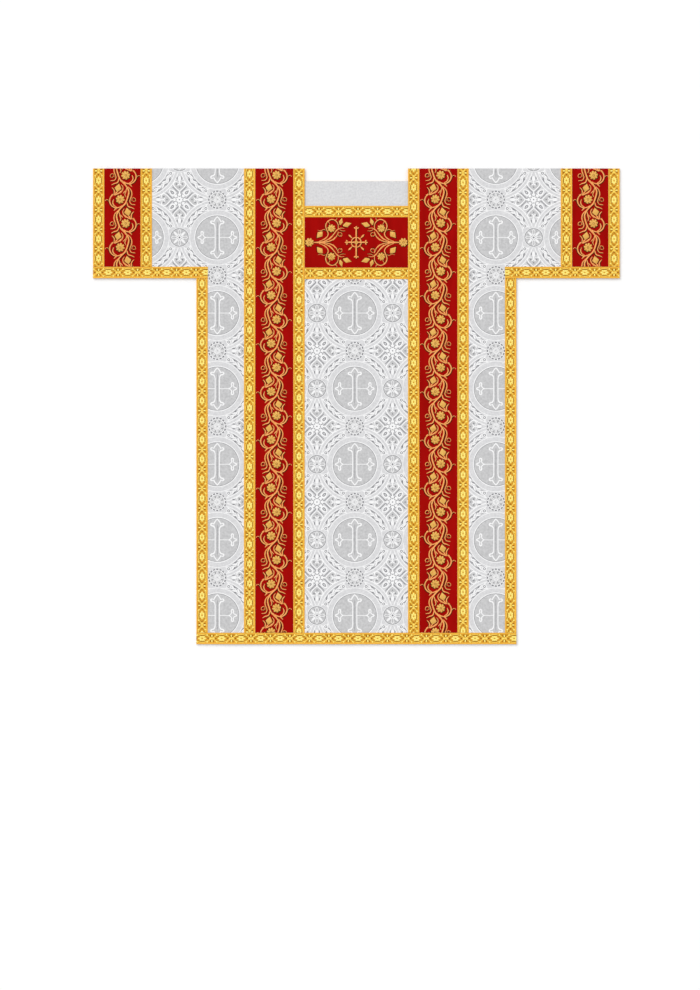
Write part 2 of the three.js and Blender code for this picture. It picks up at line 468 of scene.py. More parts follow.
def wall(rects: Sequence[Rect], under: HeightOf, over: HeightOf, finish: int, station: float) -> Patch:
    """A closed wall of cloth over rectangles that share edges.

    Args:
        rects: its outline.
        under: the height of its underside.
        over: the height of its face.
        finish: its finish.
        station: the longest stretch between its points.

    Returns:
        The wall.
    """
    xs = filled([v for r in rects for v in (r.x0, r.x1)], station)
    ys = filled([v for r in rects for v in (r.y0, r.y1)], station)
    mid_x = (np.array(xs[1:]) + xs[:-1]) / 2
    mid_y = (np.array(ys[1:]) + ys[:-1]) / 2
    grid_x, grid_y = np.meshgrid(mid_x, mid_y, indexing="ij")
    kept = np.any([r.holds(grid_x, grid_y) for r in rects], axis=0)
    numbers = np.arange(len(xs) * len(ys)).reshape(len(xs), len(ys))
    i, j = np.nonzero(kept)
    a, b, c, d = numbers[i, j], numbers[i + 1, j], numbers[i + 1, j + 1], numbers[i, j + 1]
    top = np.concatenate([np.column_stack([a, b, c]), np.column_stack([a, c, d])])
    x, y = (v.reshape(-1) for v in np.meshgrid(xs, ys, indexing="ij"))
    rim = rim_of(top)
    n = len(x)
    sides = np.concatenate(
        [
            np.column_stack([rim[:, 1], rim[:, 0], rim[:, 0] + n]),
            np.column_stack([rim[:, 1], rim[:, 0] + n, rim[:, 1] + n]),
        ]
    )
    triangles = np.concatenate([top, sides, top[:, ::-1] + n])
    points = np.concatenate([np.column_stack([x, y, over(x, y)]), np.column_stack([x, y, under(x, y)])])
    used, triangles = np.unique(triangles, return_inverse=True)
    triangles = triangles.reshape(-1, 3)
    return Patch(points[used], triangles, np.full(len(triangles), finish))


# ----------------------------------------------------------------------
# Threads and shapes that are raised from a ground
# ----------------------------------------------------------------------


def skin(stations: int, around_it: int) -> Array:
    """The triangles of a tube's sides, two to a face, by station and by place round it."""
    ring = np.arange(around_it)
    nxt = np.roll(ring, -1)
    row = np.arange(stations - 1)[:, None] * around_it
    a, b, c, d = row + ring, row + nxt, row + around_it + nxt, row + around_it + ring
    return np.stack([np.stack([a, d, c], 2), np.stack([a, c, b], 2)], 2)


def through(points: Sequence[Sequence[float]], step: float) -> Array:
    """A smooth path through some points.

    Args:
        points: the places that it passes.
        step: about how far apart the path's points are.

    Returns:
        The points of a Catmull-Rom spline, ends included.
    """
    given = np.asarray(points, float)
    ends = [2 * given[0] - given[1], *given, 2 * given[-1] - given[-2]]
    out = []
    for p0, p1, p2, p3 in zip(ends, ends[1:], ends[2:], ends[3:]):
        count = max(2, math.ceil(np.linalg.norm(p2 - p1) / step))
        t = np.arange(count)[:, None] / count
        out.append(
            0.5
            * (
                2 * p1
                + (p2 - p0) * t
                + (2 * p0 - 5 * p1 + 4 * p2 - p3) * t**2
                + (3 * p1 - p0 - 3 * p2 + p3) * t**3
            )
        )
    return np.concatenate([*out, given[-1:]])


def arc(centre: Sequence[float], radius: float, start: float, end: float, step: float) -> Array:
    """Points of an arc or, where the radius changes, of a spiral.

    Args:
        centre: its middle.
        radius: its radius, or a pair with the radius at its start and at its end.
        start: its first angle, in degrees.
        end: its last angle.
        step: about how far apart its points are.

    Returns:
        The points in order.
    """
    first, last = radius if isinstance(radius, tuple) else (radius, radius)
    sweep = math.radians(abs(end - start))
    count = max(3, math.ceil(sweep * (first + last) / 2 / step)) + 1
    angle = np.radians(np.linspace(start, end, count))
    r = np.linspace(first, last, count)
    return np.column_stack([centre[0] + r * np.cos(angle), centre[1] + r * np.sin(angle)])


def tapered(count: int, width: float, start: float, end: float, swell_at: float = 0.5) -> Array:
    """Half-widths along a stroke that is widest somewhere between its ends.

    Args:
        count: how many points the stroke has.
        width: its greatest width.
        start: the share of that width at its start.
        end: the share at its end.
        swell_at: where it is widest, as a share of its length.

    Returns:
        A half-width for each point.
    """
    t = np.linspace(0, 1, count)
    rising = start + (1 - start) * np.sin(np.pi / 2 * np.clip(t / swell_at, 0, 1))
    falling = end + (1 - end) * np.sin(np.pi / 2 * np.clip((1 - t) / (1 - swell_at), 0, 1))
    return width / 2 * np.where(t < swell_at, rising, falling)


class Thread(IntEnum):
    """The places of an embroidery's finishes in its piece's list."""

    STEM = 0
    # SHADE is painted shade: the dark thread put on the side of the stitches away from the key light
    SHADE = 1
    FLOWER = 2
    HEART = 3


PAINTED_SHADE_TOWARDS = np.array([0.76, -0.65])  # the side away from the key light: strokes get a dark flank and padded shapes a dark rim there, painted shade
WIDE_RIDGE = np.array([[1.0, 0.62, 0.0, -0.62, -1.0], [0.0, 0.78, 1.0, 0.78, 0.0]])  # places and heights
SLIM_RIDGE = np.array([[1.0, 0.0, -1.0], [0.0, 1.0, 0.0]])
SLIM = 1.26  # a stroke of no more than this half-width has the plainer section
SPREAD = 0.25  # how much further the foot of a stroke reaches on each side
FLANK = 1.4  # how much further still its dark foot, painted shade on the side away from the key light, reaches
TURNED = 0.15  # a flank that faces away from the key light by more than this gets the dark finish of painted shade
LEAST_RISE = 0.35  # the share of its height that a stroke keeps at its thinnest


def ridge(
    path: Array,
    half: Array,
    height: float,
    crown: int,
    shade: int,
    spread: float = SPREAD,
    flank: float = FLANK,
) -> Patch:
    """A raised stroke of satin stitch: a closed ridge along a path.

    Args:
        path: the points of its middle line.
        half: its half-width at each of them.
        height: how high it stands at its widest.
        crown: the finish of its top.
        shade: the finish of the flank that is turned away from the key light, painted shade.
        spread: how much further its feet reach than its half-width.
        flank: how much further still that flank reaches.

    Returns:
        The stroke, over height 0.
    """
    ahead = np.gradient(path, axis=0)
    ahead /= np.maximum(np.linalg.norm(ahead, axis=1, keepdims=True), 1e-9)
    left = np.column_stack([-ahead[:, 1], ahead[:, 0]])
    across, rises = SLIM_RIDGE if half.max() <= SLIM else WIDE_RIDGE
    n, k = len(path), len(across)
    # the foot on the side away from the key light reaches further, so that the painted shade shows
    turned = left @ PAINTED_SHADE_TOWARDS
    reach = half[:, None] * across
    reach[:, 0] += spread + flank * np.clip(turned, 0, 1)
    reach[:, -1] -= spread + flank * np.clip(-turned, 0, 1)
    rise = np.clip(half / half.max(), LEAST_RISE, 1)[:, None] * rises * height
    xy = path[:, None, :] + left[:, None, :] * reach[:, :, None]
    points = np.concatenate([xy, rise[:, :, None]], axis=2).reshape(-1, 3)
    middle = (left[1:] + left[:-1]) / 2
    facing = middle @ PAINTED_SHADE_TOWARDS
    # the flank that faces away from the key light gets the dark finish: painted shade
    finish = np.full((n - 1, k, 2), crown)
    finish[facing > TURNED, 0] = shade
    finish[facing < -TURNED, k - 2] = shade
    caps = [(0, j, j + 1) for j in range(1, k - 1)]
    last = (n - 1) * k
    caps += [(last, last + j + 1, last + j) for j in range(1, k - 1)]
    triangles = np.concatenate([skin(n, k).reshape(-1, 3), np.array(caps)])
    return Patch(points, triangles, np.concatenate([finish.reshape(-1), np.full(len(caps), crown)]))


def pillow(outline: Array, height: float, finish: int, rings: Sequence[Point]) -> Patch:
    """A raised shape with a rounded top.

    Args:
        outline: its outline, counter-clockwise.
        height: how high its middle stands.
        finish: its finish.
        rings: the shares of the outline's size and of the height for each ring between rim and middle.

    Returns:
        The closed shape, over height 0.
    """
    middle = outline.mean(0)
    n = len(outline)
    levels = [(1.0, 0.0), *rings]
    loops = [np.column_stack([middle + (outline - middle) * s, np.full(n, h * height)]) for s, h in levels]
    points = np.concatenate([*loops, [[*middle, height], [*middle, 0.0]]])
    ring = np.arange(n)
    nxt = np.roll(ring, -1)
    parts = []
    for low in range(len(levels) - 1):
        a, b = low * n + ring, low * n + nxt
        c, d = b + n, a + n
        parts += [np.column_stack([a, b, c]), np.column_stack([a, c, d])]
    top = (len(levels) - 1) * n
    crest, foot = len(points) - 2, len(points) - 1
    parts.append(np.column_stack([top + ring, top + nxt, np.full(n, crest)]))
    parts.append(np.column_stack([nxt, ring, np.full(n, foot)]))
    triangles = np.concatenate(parts)
    return Patch(points, triangles, np.full(len(triangles), finish))


PLUMP = ((0.86, 0.62), (0.5, 0.95))
LOW_PLUMP = ((0.7, 0.8),)
FLAT_PLUMP = ((0.9, 0.9),)


def leaf_outline(length: float, width: float, count: int, belly: float = 0.45) -> Array:
    """A pointed leaf from (0, 0) to (length, 0), counter-clockwise.

    Args:
        length: from its foot to its tip.
        width: its greatest width.
        count: how many points each of its edges has.
        belly: where it is widest, as a share of its length.

    Returns:
        Its outline.
    """
    t = np.linspace(0, 1, count)
    power = math.log(0.5) / math.log(belly)
    half = width / 2 * np.sin(np.pi * t**power) ** 0.8
    right = np.column_stack([t * length, -half])
    left = np.column_stack([t * length, half])[::-1][1:-1]
    return np.concatenate([right, left])


def star_outline(lobes: int, outer: float, inner: float, per_lobe: int) -> Array:
    """A scalloped outline round (0, 0).

    Args:
        lobes: how many petals it has.
        outer: its radius at a petal's tip.
        inner: its radius between petals.
        per_lobe: how many points each petal has.

    Returns:
        Its outline, counter-clockwise.
    """
    angle = np.arange(lobes * per_lobe) * 2 * math.pi / (lobes * per_lobe)
    share = np.abs(np.cos(angle * lobes / 2)) ** 0.7
    radius = inner + (outer - inner) * share
    return np.column_stack([radius * np.cos(angle), radius * np.sin(angle)])


def both_halves(half: Sequence[Point], axis: int = 1) -> Array:
    """A half outline with its mirror image, whose points on the mirror's line aren't doubled.

    Args:
        half: the half outline, in order.
        axis: the axis that it is mirrored along.

    Returns:
        The whole outline, in the half's own order.
    """
    given = np.asarray(half, float)
    image = given[given[:, axis] != 0][::-1].copy()
    image[:, axis] *= -1
    return np.concatenate([given, image])


def placed(outline: Array, at: Sequence[float], degrees: float = 0.0) -> Array:
    """An outline, turned and then moved."""
    c, s = math.cos(math.radians(degrees)), math.sin(math.radians(degrees))
    return outline @ np.array([[c, s], [-s, c]]) + np.asarray(at, float)


# ----------------------------------------------------------------------
# The damask's figure
# ----------------------------------------------------------------------


class Tone(IntEnum):
    """The weaves of the damask, in the order of its piece's finishes."""

    GROUND = 0
    LINE = 1
    DISC = 2
    ACCENT = 3


@dataclass(frozen=True)
class Figure:
    """One flat shape of the damask's figure: what is drawn later covers what is drawn before it."""

    outline: Array
    tone: Tone


LARGE_ROUND = 96  # how many points a medallion's ring has
ROSETTE_ROUND = 48  # and a rosette's
STRAIGHT = 0.002  # edges that turn by less than this, in radians, count as one


def circle(at: Sequence[float], radius: float, tone: Tone, count: int) -> Figure:
    """A round figure."""
    angle = (np.arange(count) + 0.5) * 2 * math.pi / count
    points = np.column_stack([at[0] + radius * np.cos(angle), at[1] + radius * np.sin(angle)])
    return Figure(points, tone)


def leaf(at: Sequence[float], degrees: float, start: float, end: float, width: float, tone: Tone) -> Figure:
    """A leaf that points away from a place.

    Args:
        at: the place.
        degrees: its heading.
        start: how far its foot is from the place.
        end: how far its tip is.
        width: its width.
        tone: its weave.

    Returns:
        The figure.
    """
    outline = leaf_outline(end - start, width, 5) + (start, 0)
    return Figure(placed(outline, at, degrees), tone)


def line(path: Array, width: float, tone: Tone) -> Figure:
    """A line of one width along a path."""
    ahead = np.gradient(path, axis=0)
    ahead /= np.linalg.norm(ahead, axis=1, keepdims=True)
    left = np.column_stack([-ahead[:, 1], ahead[:, 0]]) * width / 2
    return Figure(np.concatenate([path - left, (path + left)[::-1]]), tone)


def thinned(mesh: bmesh.types.BMesh) -> Patch:
    """A flat mesh without the edges between triangles of one weave that its outlines don't need."""
    mesh.normal_update()
    bmesh.ops.dissolve_limit(
        mesh,
        angle_limit=STRAIGHT,
        use_dissolve_boundaries=False,
        verts=mesh.verts,
        edges=mesh.edges,
        delimit={"MATERIAL"},
    )
    bmesh.ops.triangulate(mesh, faces=mesh.faces, quad_method="BEAUTY", ngon_method="BEAUTY")
    return taken_from(mesh)


@dataclass(frozen=True)
class DamaskCell:
    """One repeat of the figure: a cross in a disc inside rings, with rosettes and a diamond between.

    The repeat is symmetric both ways, so that one quarter of it is drawn and mirrored.
    """

    pitch: float = 170.0
    disc: float = 49.4
    rings: tuple[Point, ...] = ((86.2, 84.2), (79.2, 77.6), (62.6, 61.2), (51.4, 49.4))
    scroll_radius: float = 70.0
    rosette: float = 22.0
    dashed_rosette: float = 20.6
    diamond_edges: tuple[tuple[float, Tone], ...] = ((87.4, Tone.ACCENT), (89.8, Tone.GROUND))

    @property
    def half(self) -> float:
        """Half of the repeat's pitch."""
        return self.pitch / 2

    def medallion(self) -> list[Figure]:
        """The interlaced rings and the disc, without what they hold."""
        figures = []
        for outer, inner in self.rings:
            figures.append(circle((0, 0), outer, Tone.LINE, LARGE_ROUND))
            figures.append(circle((0, 0), inner, Tone.GROUND, LARGE_ROUND))
        figures[-1] = circle((0, 0), self.disc, Tone.ACCENT, LARGE_ROUND)
        return [*figures, circle((0, 0), self.disc - 1.0, Tone.DISC, LARGE_ROUND)]

    def cross(self) -> list[Figure]:
        """The cross with budded ends, in outline, with a thin crossbar and a vein up its arm."""
        arm = [(5.8, -3), (5.8, 21), (6.6, 26.4), (9.4, 29.6), (13.8, 30.6), (16.2, 33.2), (15.6, 37.0)]
        arm += [(12.0, 38.4), (8.4, 37.2), (7.0, 40.4), (4.0, 44.4), (0, 48.2)]
        hollow = [(3.7, -3), (3.7, 22), (4.6, 28.4), (7.4, 32.0), (12.2, 33.2), (13.2, 35.2), (11.2, 36.0)]
        hollow += [(6.8, 34.6), (5.2, 38.4), (2.8, 42.0), (0, 45.0)]
        bud = [(23.0, 0), (28.6, -2.2), (31.2, -5.8), (30.2, -9.8), (31.2, -13.6), (34.2, -15.0)]
        bud += [(37.2, -13.2), (37.8, -9.4), (37.0, -6.0), (39.4, -3.6), (43.0, -2.8), (45.0, 0)]
        core = [(28.6, 0), (31.8, -2.8), (33.8, -6.2), (33.0, -9.8), (33.6, -12.0), (35.2, -11.8)]
        core += [(35.4, -9.2), (34.8, -5.4), (38.0, -1.8), (42.4, 0)]
        return [
            Figure(np.array([(5, -0.7), (27, -0.7), (27, 0.7), (5, 0.7)]), Tone.LINE),
            Figure(both_halves(bud), Tone.LINE),
            Figure(both_halves(core), Tone.DISC),
            Figure(both_halves(arm, 0), Tone.LINE),
            Figure(both_halves(hollow, 0), Tone.DISC),
            Figure(np.array([(-0.4, -3), (0.5, -3), (0.5, 31), (0, 37), (-0.4, 31)]), Tone.ACCENT),
        ]

    def on_band(self, angle: float, out: float = 0.0) -> Point:
        """A place on the scroll's band, at an angle and so far outside its middle line."""
        radius, turn = self.scroll_radius + out, math.radians(angle)
        return radius * math.cos(turn), radius * math.sin(turn)

    def scroll(self) -> list[Figure]:
        """The band of curled leaves across the diagonal, between the medallion's rings."""
        figures = []
        edges = ((5.6, 30.0, 45.0), (-5.6, 38.0, 54.0), (5.6, 52.0, 62.0), (-5.6, 27.0, 33.0))
        for out, first, last in edges:
            edge = arc((0, 0), self.scroll_radius + out, first, last, 4.0)
            figures.append(line(edge, 1.5, Tone.ACCENT))
        leaves = (
            (1.0, 4.2, -12, -5.8, 6.4, 3.0, Tone.ACCENT),
            (-2.6, 0.4, -24, 0.0, 12.4, 3.6, Tone.LINE),
            (2.6, -3.2, 10, -4.4, 5.0, 2.2, Tone.ACCENT),
        )
        for k, angle in enumerate((27.0, 33.5, 40.0, 46.5, 53.0, 59.5)):
            side = 1 if k % 2 else -1
            for ahead, out, lean, start, end, width, tone in leaves:
                at = self.on_band(angle + ahead, side * out)
                figures.append(leaf(at, angle + 90 + side * lean, start, end, width, tone))
        stem = arc((0, 0), self.scroll_radius, 23.0, 67.0, 2.6)
        wave = 2.4 * np.sin(np.linspace(0, 6 * math.pi, len(stem)))
        figures.append(line(stem * (1 + wave / self.scroll_radius)[:, None], 2.0, Tone.LINE))
        for angle, lean in ((21.5, -1), (68.5, 1)):
            at = self.on_band(angle)
            figures += [circle(at, 5.0, Tone.LINE, 16), circle(at, 3.2, Tone.ACCENT, 12)]
            figures.append(circle(at, 1.7, Tone.LINE, 8))
            for out in (-1, 1):
                heading = angle + 90 * lean - out * lean * 30
                figures.append(leaf(self.on_band(angle, out * 3.6), heading, -1, 7.4, 3.0, Tone.LINE))
        return figures

    def petal_rosette(self) -> list[Figure]:
        """The rosette between medallions that stand side by side."""
        at, radius = (self.half, 0.0), self.rosette
        rings = ((1.8, Tone.GROUND), (0.0, Tone.LINE), (-1.3, Tone.ACCENT), (-2.6, Tone.DISC))
        figures = [circle(at, radius + more, tone, ROSETTE_ROUND) for more, tone in rings]
        for angle in range(45, 360, 90):
            figures.append(leaf(at, angle, 4.0, 19.2, 5.0, Tone.LINE))
        for angle in range(0, 360, 90):
            figures.append(leaf(at, angle, 3.6, 19.6, 8.6, Tone.LINE))
            figures.append(leaf(at, angle, 6.0, 18.0, 5.4, Tone.DISC))
        for angle in range(0, 360, 45):
            figures.append(leaf(at, angle + 22.5, 9.0, 17.0, 1.2, Tone.ACCENT))
        return [*figures, circle(at, 3.8, Tone.LINE, 12), circle(at, 2.2, Tone.ACCENT, 10)]

    def ring_rosette(self) -> list[Figure]:
        """The rosette in a ring of dashes between medallions that stand above each other."""
        at, radius, dashes = (0.0, self.half), self.dashed_rosette, 16
        rings = ((1.6, Tone.GROUND), (0.2, Tone.LINE), (-0.2, Tone.ACCENT), (-3.2, Tone.LINE))
        rings += ((-4.8, Tone.DISC),)
        figures = [circle(at, radius + more, tone, ROSETTE_ROUND) for more, tone in rings]
        for k in range(dashes):
            middle = 360 / dashes * (k + 0.5)
            gap = arc(at, radius - 1.6, middle - 3.6, middle + 3.6, 2.6)
            figures.append(line(gap, 2.6, Tone.LINE))
        for angle in range(0, 360, 45):
            figures.append(leaf(at, angle, 2.4, 15.2, 4.8, Tone.LINE))
            figures.append(leaf(at, angle, 5.4, 13.6, 2.4, Tone.DISC))
            figures.append(leaf(at, angle + 22.5, 9.0, 15.0, 1.6, Tone.ACCENT))
        return [*figures, circle(at, 2.6, Tone.LINE, 10), circle(at, 1.3, Tone.ACCENT, 8)]

    def heart(self, at: Sequence[float], degrees: float) -> list[Figure]:
        """A heart whose point is towards the diamond's middle, round a trefoil.

        Args:
            at: the middle of the diamond.
            degrees: the way from there to the heart.

        Returns:
            Its figures.
        """
        half = [(20.4, 0), (24.2, 4.4), (28.4, 8.8), (32.4, 11.8), (36.2, 12.4), (39.2, 10.2), (40.2, 6.6)]
        half += [(38.6, 3.0), (36.4, 0)]
        outline = both_halves(half)[::-1]
        middle = np.array([31.5, 0.0])
        figures = []
        for share, tone in ((1.38, Tone.ACCENT), (1.29, Tone.LINE), (0.99, Tone.DISC)):
            figures.append(Figure(placed(middle + (outline - middle) * share, at, degrees), tone))
        for sign in (-1, 1):
            eye, root = placed(np.array([(35.2, 6.6 * sign), (36.0, 0.0)]), at, degrees)
            figures.append(circle(eye, 1.8, Tone.ACCENT, 10))
            figures.append(leaf(root, degrees + 128 * sign, 0.0, 6.8, 2.8, Tone.LINE))
        stem = np.array([(34.0, -1.2), (43.0, -1.2), (43.0, 1.2), (34.0, 1.2)])
        dot = placed(np.array([(28.2, 0.0)]), at, degrees)[0]
        return [*figures, Figure(placed(stem, at, degrees), Tone.LINE), circle(dot, 1.6, Tone.ACCENT, 8)]

    def diamond(self) -> list[Figure]:
        """The curved diamond between four medallions: hearts in its corners, leaves and a starred disc."""
        at = (self.half, self.half)
        figures = []
        for radius, tone in self.diamond_edges:
            first = math.degrees(math.acos(self.half / radius))
            edge = arc((0, 0), radius, first, 90 - first, 4.0)
            figures.append(Figure(np.concatenate([edge, [at]]), tone))
        for offset in (-9.2, 9.2):
            figures.append(line(placed(np.array([(9.0, offset), (32.0, offset)]), at, 225), 1.7, Tone.ACCENT))
        for start, end, width, tone in (
            (12.0, 33.0, 13.6, Tone.LINE),
            (16.6, 29.4, 6.4, Tone.ACCENT),
            (19.6, 26.4, 2.8, Tone.GROUND),
        ):
            figures.append(leaf(at, 225, start, end, width, tone))
        for heading in (180, 270):
            figures += self.heart(at, heading)
            for lean in (-6.4, 6.4):
                figures.append(leaf(at, heading + lean, 44.0, 56.0, 2.8, Tone.ACCENT))
            figures.append(leaf(at, heading, 40.6, 54.0, 7.4, Tone.LINE))
        figures += [circle(at, 15.0, Tone.ACCENT, 24), circle(at, 13.9, Tone.LINE, 24)]
        for angle in (180, 225, 270):
            figures.append(line(arc(at, 7.6, angle - 15, angle + 15, 7.5), 1.7, Tone.ACCENT))
            figures.append(leaf(at, angle, 12.0, 19.0, 4.0, Tone.LINE))
        for angle in (202.5, 247.5):
            figures.append(leaf(at, angle, 7.6, 14.6, 2.0, Tone.ACCENT))
        return [*figures, circle(at, 1.6, Tone.ACCENT, 8)]

    def quarter(self) -> Patch:
        """The quarter of the repeat between the middle of the disc and the middle of the diamond."""
        h = self.half
        square = Figure(np.array([(0, 0), (h, 0), (h, h), (0, h)], float), Tone.GROUND)
        figures = [square, *self.diamond(), *self.medallion(), *self.scroll(), *self.cross()]
        figures += [*self.petal_rosette(), *self.ring_rosette()]
        coords, faces = [], []
        for figure in figures:
            faces.append(list(range(len(coords), len(coords) + len(figure.outline))))
            coords += [Vector(p) for p in figure.outline]
        points, _, cut, _, _, owners = delaunay_2d_cdt(coords, [], faces, 1, 1e-4)
        inside = np.array([0 in ids for ids in owners])
        tones = np.array([figures[max(ids, default=0)].tone for ids in owners])
        flat = np.array([(*p, 0.0) for p in points])
        return thinned(mesh_of(Patch(flat, np.array(cut), tones), inside))

    def whole(self) -> Patch:
        """One whole repeat, with its medallion in the middle."""
        quarter = self.quarter()
        half = joined([quarter, quarter.mirrored(0)])
        return joined([half, half.mirrored(1)]).welded()

    def field(self, first: Point, rects: Sequence[Rect]) -> Patch:
        """The figure all over some rectangles.

        Args:
            first: the middle of one medallion.
            rects: the rectangles, which share edges.

        Returns:
            The flat figure, trimmed to them.
        """
        repeat, box = self.whole(), around(rects)
        columns = range(round((box.x0 - first[0]) / self.pitch), round((box.x1 - first[0]) / self.pitch) + 1)
        rows = range(round((box.y0 - first[1]) / self.pitch), round((box.y1 - first[1]) / self.pitch) + 1)
        cells = []
        for i in columns:
            for j in rows:
                x, y = first[0] + i * self.pitch, first[1] + j * self.pitch
                cell = Rect(x - self.half, x + self.half, y - self.half, y + self.half)
                if any(cell.meets(r) for r in rects):
                    cells.append(repeat.moved((x, y, 0)))
        return clipped(joined(cells).welded(), rects)


# ----------------------------------------------------------------------
# Finishes
# ----------------------------------------------------------------------

Colour = tuple[float, float, float]
Socket = bpy.types.NodeSocket
THREAD_SHARE = 0.16  # how much a finish's colour follows its threads
UNEVEN = 0.16  # how much its roughness varies


class Weave(Enum):
    """How the threads of a finish run."""

    PLAIN = "plain"
    RIBS_ACROSS = "ribs across"
    RIBS_ALONG = "ribs along"


@dataclass
class Shader:
    """A material in the making: a Principled surface and the nodes that feed it."""

    name: str
    material: bpy.types.Material = field(init=False)
    nodes: bpy.types.Nodes = field(init=False)
    links: bpy.types.NodeLinks = field(init=False)
    surface: bpy.types.Node = field(init=False)
    place: Socket = field(init=False)

    def __post_init__(self) -> None:
        """Starts the material."""
        self.material = bpy.data.materials.new(self.name)
        self.material.use_nodes = True
        self.nodes = self.material.node_tree.nodes
        self.links = self.material.node_tree.links
        self.surface = next(n for n in self.nodes if n.type == "BSDF_PRINCIPLED")
        self.place = self.nodes.new("ShaderNodeTexCoord").outputs["Object"]

    def set(self, socket: str, value: float | Colour) -> None:
        """Sets one of the surface's sockets to the same value all over."""
        made = (*value, 1.0) if isinstance(value, tuple) else value
        self.surface.inputs[socket].default_value = made

    def noise(self, size: float, stretch: Sequence[float], detail: float = 3.0) -> Socket:
        """Noise whose grain has about the given size, in metres.

        Args:
            size: the size of its grain.
            stretch: how much longer the grain is along each axis.
            detail: how many finer octaves it has.

        Returns:
            Its factor, from 0 to 1.
        """
        scale = self.nodes.new("ShaderNodeMapping")
        scale.inputs["Scale"].default_value = [1 / (size * s) for s in stretch]
        self.links.new(self.place, scale.inputs["Vector"])
        node = self.nodes.new("ShaderNodeTexNoise")
        node.inputs["Scale"].default_value = 1.0
        node.inputs["Detail"].default_value = detail
        self.links.new(scale.outputs[0], node.inputs["Vector"])
        return node.outputs["Fac"]

    def bands(self, period: float, axis: str) -> Socket:
        """Soft bands across an axis, with a period in metres."""
        node = self.nodes.new("ShaderNodeTexWave")
        node.bands_direction = axis
        node.inputs["Scale"].default_value = math.pi / 10 / period
        node.inputs["Distortion"].default_value = 0.0
        self.links.new(self.place, node.inputs["Vector"])
        return node.outputs["Fac"]

    def maths(self, operation: str, a: Socket, b: Socket | float) -> Socket:
        """One sum on two values."""
        node = self.nodes.new("ShaderNodeMath")
        node.operation = operation
        for socket, value in zip(node.inputs, (a, b)):
            if isinstance(value, Socket):
                self.links.new(value, socket)
            else:
                socket.default_value = value
        return node.outputs[0]

    def ramp(self, factor: Socket, low: float, high: float, start: Colour, end: Colour) -> None:
        """Feeds the surface's colour from a factor.

        Args:
            factor: what the colour follows.
            low: the factor that gives the first colour.
            high: the factor that gives the last.
            start: the first colour.
            end: the last.
        """
        node = self.nodes.new("ShaderNodeValToRGB")
        first, last = node.color_ramp.elements
        first.position, last.position = low, high
        first.color, last.color = (*start, 1.0), (*end, 1.0)
        self.links.new(factor, node.inputs["Fac"])
        self.links.new(node.outputs["Color"], self.surface.inputs["Base Color"])

    def bump(self, height: Socket, depth: float) -> None:
        """Feeds the surface's normal from a height from 0 to 1, with a depth in metres."""
        node = self.nodes.new("ShaderNodeBump")
        node.inputs["Strength"].default_value = 1.0
        node.inputs["Distance"].default_value = depth
        self.links.new(height, node.inputs["Height"])
        self.links.new(node.outputs["Normal"], self.surface.inputs["Normal"])


@dataclass(frozen=True)
class Finish:
    """A woven or stitched finish.

    light and dark are the ends of its colour, grain the size of the patches that its colour varies in,
    stretch how much longer they are along each axis, rough its roughness, metal how metallic its thread is,
    gloss how strongly it mirrors, thread the pitch of its threads, relief their depth and spread the values
    of the noise that give the ends of its colour. Lengths are in metres.
    """

    name: str
    light: Colour
    dark: Colour
    grain: float = 0.012
    stretch: tuple[float, float, float] = (1.0, 1.0, 1.0)
    rough: float = 0.6
    metal: float = 0.0
    gloss: float = 0.3
    thread: float = 0.0008
    relief: float = 0.00006
    weave: Weave = Weave.PLAIN
    spread: tuple[float, float] = (0.35, 0.65)

    def made(self) -> bpy.types.Material:
        """The finish as a material."""
        shader = Shader(self.name)
        shader.set("Metallic", self.metal)
        shader.set("Specular IOR Level", self.gloss)
        mottle = shader.noise(self.grain, self.stretch)
        if self.weave is Weave.PLAIN:
            threads = shader.maths("MULTIPLY", shader.bands(self.thread, "X"), shader.bands(self.thread, "Y"))
        else:
            threads = shader.bands(self.thread, "Y" if self.weave is Weave.RIBS_ACROSS else "X")
        mixed = shader.maths("MULTIPLY_ADD", threads, THREAD_SHARE)
        shader.links.new(mottle, mixed.node.inputs[2])
        shader.ramp(mixed, self.spread[0], self.spread[1] + THREAD_SHARE, self.dark, self.light)
        uneven = shader.noise(self.grain * 0.4, self.stretch, 2.0)
        lively = shader.maths("MULTIPLY_ADD", uneven, UNEVEN)
        lively.node.inputs[2].default_value = self.rough - UNEVEN / 2
        shader.links.new(lively, shader.surface.inputs["Roughness"])
        shader.bump(threads, self.relief)
        return shader.material


def srgb(red: int, green: int, blue: int) -> Colour:
    """A linear colour from one that is given as it looks on a screen, from 0 to 255."""
    shares = [v / 255 for v in (red, green, blue)]
    return tuple(s / 12.92 if s <= 0.04045 else ((s + 0.055) / 1.055) ** 2.4 for s in shares)


